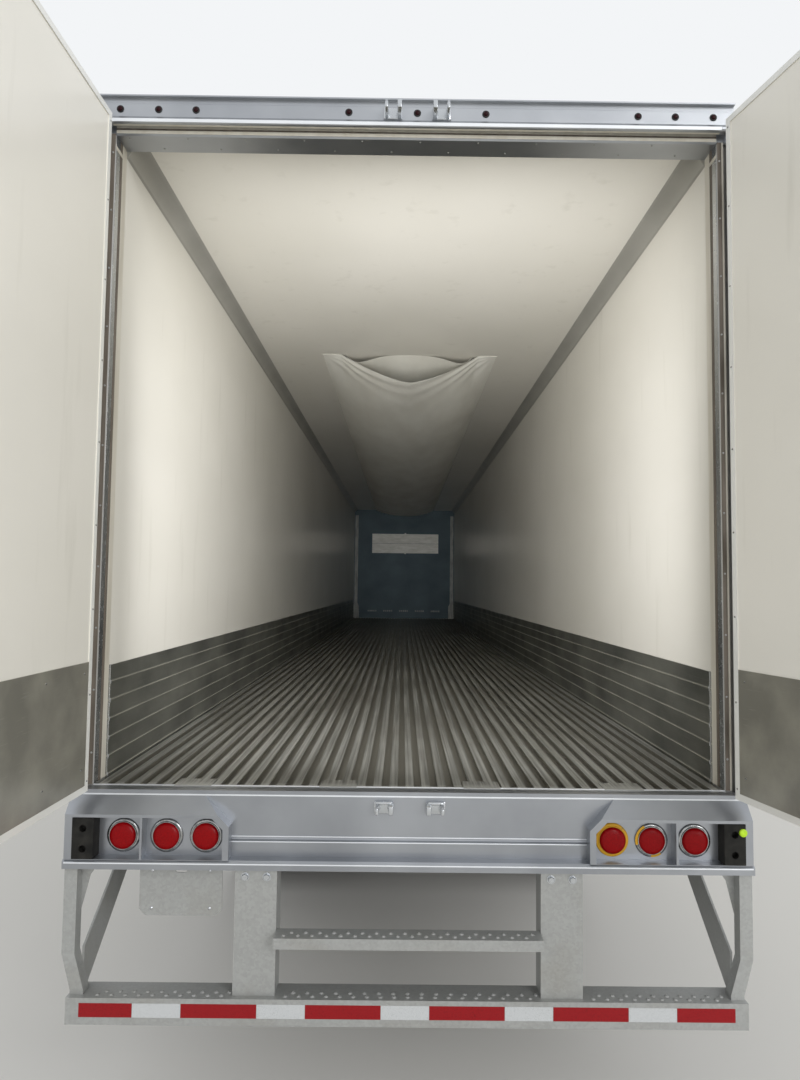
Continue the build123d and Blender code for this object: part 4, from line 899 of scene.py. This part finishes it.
trim = {
    "low": 1349, "high": 3980,
    # from and to across and along
    "jambStrips": (
        (1240, 1257, 44, 45, "dark"),
        (1257.5, 1264.5, 44, 45, "white"),
        (1279, 1295, -0.8, 0.2, "white"),
        (1237, 1238.2, 52, 90, "metal"),
        (1237, 1238.2, 92, 117, "dark"),
        (1237, 1238.2, 118, 165, "white"),
        (1230.5, 1236, 166, 169, "metal"),
    ),
    # from and to along and up
    "headerHalf": 1237,
    "headerStrips": (
        (44, 45.2, 3982, 3996, "white"),
        (44, 45.2, 3997, 4003, "dark"),
        (44, 45.2, 4004, 4016, "white"),
        (7, 17, 3997.2, 3998.2, "white"),
        # the bright strip is a painted highlight on the header's lip
        (-11, -9.8, 3999, 4013, "bright"),
    ),
    # the sill's strips are painted highlights:
    # half their width, then from and to along and up
    "sillStrips": (
        (1285, -22.5, -19, 1327, 1333),
        (677, -24, -19, 1175, 1179),
        (677, -24, -19, 1155, 1159),
        (1290, -76.5, -74, 1088, 1093),
        (1237, 42, 58, 1346, 1348.5),
    ),
    "scuffTop": 1800, "teeth": 6, "toothPitch": 75, "firstTooth": 1354.5,
    "cornerArc": ((1237, 3915), (1239, 3938), (1244, 3956), (1253, 3968), (1266, 3974)),
}


def makeFrameTrim():
    # strips of vinyl and sealant round the opening, painted highlights along the sill, the floor's edge and
    # the header's lip, and the curved ends of the lining
    strips = {"dark": [], "white": [], "metal": [], "bright": []}
    arc = trim["cornerArc"]
    for side in (-1, 1):
        for low, high, start, end, kind in trim["jambStrips"]:
            top = trim["scuffTop"] if start > 165 else trim["high"]
            strips[kind].append(block((low, high), (start, end), (trim["low"], top), 0.3, 1, side))
        # the cut ends of the scuff strip's ribs
        for k in range(trim["teeth"]):
            z = trim["firstTooth"] + k * trim["toothPitch"]
            strips["metal"].append(block((1226.5, 1231), (165, 169), (z - 9, z + 9), 1.5, 2, side))
        # the lining curls outwards where the jamb meets the header
        curl = added(bpy.ops.mesh.primitive_grid_add, x_subdivisions=len(arc) - 1, y_subdivisions=1, size=2)
        for vertex in curl.data.vertices:
            x, z = arc[round((vertex.co.x + 1) / 2 * (len(arc) - 1))]
            vertex.co = at(side * x, 50 if vertex.co.y < 0 else 116, z)
        applied(curl, "SOLIDIFY", thickness=3 * millimetre, offset=0.0)
        strips["white"].append(applied(curl, "BEVEL", width=1 * millimetre, segments=2))
    half = trim["headerHalf"]
    for start, end, low, high, kind in trim["headerStrips"]:
        strips[kind].append(block((-half, half), (start, end), (low, high), 0.3, 1))
    # painted highlights along the sill and the floor's rear edge
    for half, start, end, low, high in trim["sillStrips"]:
        strips["bright"].append(block((-half, half), (start, end), (low, high), 1.2))
    dressed("frameDarkStrips", strips["dark"], sealFinish)
    dressed("frameWhiteStrips", strips["white"], vinyl)
    dressed("frameMetalStrips", strips["metal"], zinc)
    dressed("frameBrightStrips", strips["bright"], paintedHighlightMetal)


vent = {"first": -778, "pitch": 389, "half": 116, "low": 1499, "high": 1573, "face": 15724, "slats": 5}


def makeVentCovers():
    # dark louvre frames in front of the bulkhead's vents, each with five upright slats in its lower half
    frames, slats = [], []
    face, low, half = vent["face"], vent["low"], vent["half"]
    for k in range(5):
        x = vent["first"] + k * vent["pitch"]
        frames.append(block((x - half, x + half), (face - 2, face + 15), (low, vent["high"]), 2))
        for step in range(vent["slats"]):
            middle = x - half + 2 * half * (step + 0.5) / vent["slats"]
            slats.append(block((middle - 15, middle + 15), (face - 6, face - 1), (low + 6, low + 44), 2))
    dressed("ventFrames", frames, bulkheadFinish)
    dressed("ventSlats", slats, postFinish)


makeSeams()
makeRivets()
makeFrameTrim()
makeVentCovers()
print("seams, rivets and trim made")


# Door seals, edge trims and screws, modelled closed on the right and then opened

door = {
    "hinge": (1299, -54), "open": {"left": 91.5, "right": 102.7}, "free": 8, "edge": 1270, "face": -40,
    "back": 40, "bottom": 1357, "top": 3985, "seal": (-8, 22), "sealHeight": 4, "cap": 25,
    "screwPitch": 300, "strapBolts": (1010, 1090, 1200),
}


def makeDoorDetails():
    free, edge, back, wide = door["free"], door["edge"], door["back"], door["cap"]
    low, high, proud = door["bottom"], door["top"], door["sealHeight"]
    seal = joined([block(xs, door["seal"], zs, 1.5) for xs, zs in (
        ((edge, edge + proud), (low, high)),
        ((free - proud, free), (low, high)),
        ((free, edge), (high, high + proud)),
        ((free, edge), (low - proud, low)),
    )])
    # thin bright cap over the rim of the inner face
    cap = joined([block(xs, (back, back + 1), zs, 0.5, 1) for xs, zs in (
        ((edge - wide, edge), (low, high)),
        ((free, free + wide), (low, high)),
        ((free + wide, edge - wide), (high - wide, high)),
        ((free + wide, edge - wide), (low, low + wide)),
    )])
    head, bolt = rivetHead(4), hexHead(16, 8)
    screws = [row(head, start, end, door["screwPitch"], (0, 1, 0)) for start, end in (
        ((edge - 12, back + 1, low + 40), (edge - 12, back + 1, high - 40)),
        ((free + 12, back + 1, low + 40), (free + 12, back + 1, high - 40)),
        ((free + 60, back, low + 440), (edge - 60, back, low + 440)),
        ((free + 60, back, low + 90), (edge - 60, back, low + 90)),
    )]
    for k in range(4):
        z = low + 200 + (high - low - 460) * k / 3 + 30
        for x in door["strapBolts"]:
            screws.append(copied(bolt, rearward(x, door["face"] - 6, z)))
    screw = joined(screws)
    pin = at(*door["hinge"], 0)
    for name, angle in door["open"].items():
        turn = Matrix.Rotation(math.radians(angle), 4, "Z")
        place = Matrix.Translation(pin) @ turn @ Matrix.Translation(-pin)
        if name == "left":
            place = mirrorX @ place
        body = f"door_{name}"
        dressed(f"doorSeal_{name}", [copied(seal, place)], rubber, 40, body)
        dressed(f"doorCap_{name}", [copied(cap, place)], skin, 40, body)
        dressed(f"doorScrews_{name}", [copied(screw, place)], chrome, 40, body)
    discard(seal, cap, head, screw, bolt)


makeDoorDetails()
print("door details made")


# Air chute: a slung sheet whose open mouth sags between folded corners

chute = {
    "half": 709, "openHalf": 560, "mouthSag": 224, "sag": 246, "start": 3105, "end": 15735,
    "hang": ceilingLevel - 1.0, "grid": (96, 170), "thickness": 1.2, "flat": (1.6, 12.64), "upperEnd": 4600,
    "upperSag": 90, "upperDip": 62, "upperGrid": (48, 32), "upperFlat": (1.05, 1.51), "batten": 9,
}


def chuteDrop(u, y):
    # how far a point hangs below the ceiling: u runs from -1 to 1 across
    near = (y - chute["start"]) / 1000
    mouth = math.exp(-near / 0.75)
    # at the mouth the cloth is pinned flat at both sides, and its lip hangs between them in a blunt V
    across = min(1.0, abs(u) * chute["half"] / chute["openHalf"])
    lip = 0.55 * (1 - across * across) + 0.45 * (1.05 - math.sqrt(across * across + 0.0025) * 1.05 / 1.00125)
    belly = lip * mouth + (1 - abs(u) ** 2.6) * (1 - mouth)
    tail = max(0.0, min(1.0, (chute["end"] - y) / 2600)) ** 0.6
    depth = (chute["mouthSag"] * mouth + chute["sag"] * (1 - mouth)) * (0.55 + 0.45 * tail)
    # folds fan out from the mouth's corners and fade inwards
    inward = (1 - abs(u)) * chute["half"] / 1000
    reach = math.hypot(inward, near)
    fan = math.sin(math.atan2(near, inward + 0.001) * 17 + 4 * u)
    middle = 1 - u * u
    crease = 4 * fan * math.exp(-((reach - 0.25) / 0.2) ** 2) + 2.5 * fan * math.exp(-near / 1.5) * middle
    sway = 4 * math.sin(y / 410 + 2.5 * u) * middle
    return belly * depth + (crease + sway) * min(1, inward * 9)


def clothGrid(steps, placeOf):
    # a grid of cloth: placeOf gives each corner's place from its shares across (-1 to 1) and along (0 to 1)
    piece = added(bpy.ops.mesh.primitive_grid_add, x_subdivisions=steps[0], y_subdivisions=steps[1], size=2)
    for vertex in piece.data.vertices:
        vertex.co = placeOf(vertex.co.x, (vertex.co.y + 1) / 2)
    return applied(piece, "SOLIDIFY", thickness=chute["thickness"] * millimetre, offset=0.0)


def lowerCloth(u, share):
    y = chute["start"] + share ** 2.2 * (chute["end"] - chute["start"])
    drop = max(0.0, chuteDrop(u, y)) if abs(u) < 0.999 else 0.0
    return at(u * chute["half"], y, chute["hang"] - min(drop, chute["sag"] + 5))


def upperCloth(u, share):
    # the mouth's upper sheet sags a little behind its hem
    drop = chute["upperSag"] * (1 - u * u) * math.sin(math.pi * share)
    # its front edge is caught up in the middle and dips on both sides
    drop += chute["upperDip"] * math.sin(math.pi * abs(u) ** 3.1) * (1 - share) ** 3
    return at(u * (chute["openHalf"] - 40), chute["start"] + 4 + share * (chute["upperEnd"] - chute["start"]),
              chute["hang"] + 0.2 - drop)


def makeChute():
    lower = dressed("hungAirChute", [clothGrid(chute["grid"], lowerCloth)], cloth, 60)
    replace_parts(lower, "air_chute")
    upper = dressed("chuteMouthCloth", [clothGrid(chute["upperGrid"], upperCloth)], cloth, 60)
    # battens that hold the cloth's edges to the ceiling, and the two turned-back hems at the mouth
    battens = []
    half, start = chute["half"], chute["start"]
    for side in (-1, 1):
        battens.append(block((half + 1, half + 1 + chute["batten"]), (start, chute["end"]),
                             (ceilingLevel - 1.5, ceilingLevel), 0.5, 1, side))
        battens.append(block((chute["openHalf"] + 6, half), (start - 4, start + 1),
                             (ceilingLevel - 4, ceilingLevel), 1.5, 3, side))
    dressed("chuteBattens", battens, lining)


makeChute()
print("air chute made")


# Yellow paint left on a second lamp ring, as arcs: from and to in degrees, seen from behind

ringPaint = {
    "lamp": 923, "middle": 58, "half": 4, "rise": 7.6, "slope": 1.2, "arcs": ((118, 196), (268, 305)),
}


def makeRingPaint():
    centre = at(ringPaint["lamp"], tailLamp["face"], sillBottom + tailLamp["rise"])
    arcs = []
    for start, end in ringPaint["arcs"]:
        def placeOf(u, share, start=start, end=end):
            angle = math.radians(start + share * (end - start))
            radius = ringPaint["middle"] + u * ringPaint["half"]
            return centre + mm(radius * math.cos(angle), ringPaint["slope"] * u - ringPaint["rise"],
                               radius * math.sin(angle))
        arcs.append(clothGrid((2, 20), placeOf))
    dressed("tailLampRingPaint", arcs, ochre)


makeRingPaint()


# Cooling unit: outer doors, latches and fan guard

unit = {
    "face": 16509, "panelThickness": 6,
    "panels": ((-1000, -752, 1880, 4010), (752, 1000, 1880, 4010), (-744, 744, 1880, 2490),
               (-744, 744, 3512, 4010)),
    "fanPlace": (0, 3760), "fanRadius": 200, "fanRings": range(30, 201, 34), "spokes": 8,
    "latches": ((-770, 2200), (-770, 3700), (770, 2200), (770, 3700), (-500, 2474), (500, 2474)),
}


def makeUnit():
    face, front, radius = unit["face"], unit["face"] + unit["panelThickness"], unit["fanRadius"]
    panels = [block((left, right), (face - 2, front), (low, high), 4, 3)
              for left, right, low, high in unit["panels"]]
    dressed("unitPanels", panels, skin)
    x, z = unit["fanPlace"]
    guard = [turnedPiece([(0.5, radius - 6), (1, radius - 6)], 48, facing((0, 1, 0), at(x, front - 0.5, z)))]
    for ringRadius in unit["fanRings"]:
        ring = settle(added(bpy.ops.mesh.primitive_torus_add, major_radius=ringRadius * millimetre,
                            minor_radius=2.2 * millimetre, major_segments=48, minor_segments=6))
        ring.data.transform(facing((0, 1, 0), at(x, front + 4, z)))
        guard.append(ring)
    for k in range(unit["spokes"]):
        spoke = blockPiece(mm(25, -2, 3), mm(radius - 2, 2, 7), 1, 1)
        turn = Matrix.Rotation(math.tau * k / unit["spokes"], 4, "Z")
        spoke.data.transform(facing((0, 1, 0), at(x, front, z)) @ turn)
        guard.append(spoke)
    guard += [block((x - 18, x + 18), (front, front + 8), (z - 34, z + 34), 3, 3) for x, z in unit["latches"]]
    dressed("unitFanGuard", guard, grilleFinish)


makeUnit()
print("cooling unit details made")


# Air springs, smooth

airSpring = {
    "low": 638, "across": 475, "behindAxle": 380,
    "profile": ((0, 80), (30, 84), (60, 92), (72, 92), (80, 100), (84, 118), (92, 127), (104, 130),
                (150, 130), (160, 127), (166, 124), (172, 127), (182, 130), (192, 129), (206, 120),
                (214, 108), (220, 100), (227, 100)),
}


def makeAirSprings():
    springs = [turnedPiece(airSpring["profile"], 40,
                           facing((0, 0, 1), at(side * airSpring["across"], axle - airSpring["behindAxle"],
                                                airSpring["low"])))
               for side in (-1, 1) for axle in axlePlaces.values()]
    piece = dressed("rollingLobeSprings", springs, rubber, 50)
    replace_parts(piece, "air_springs")


makeAirSprings()
print("air springs made")
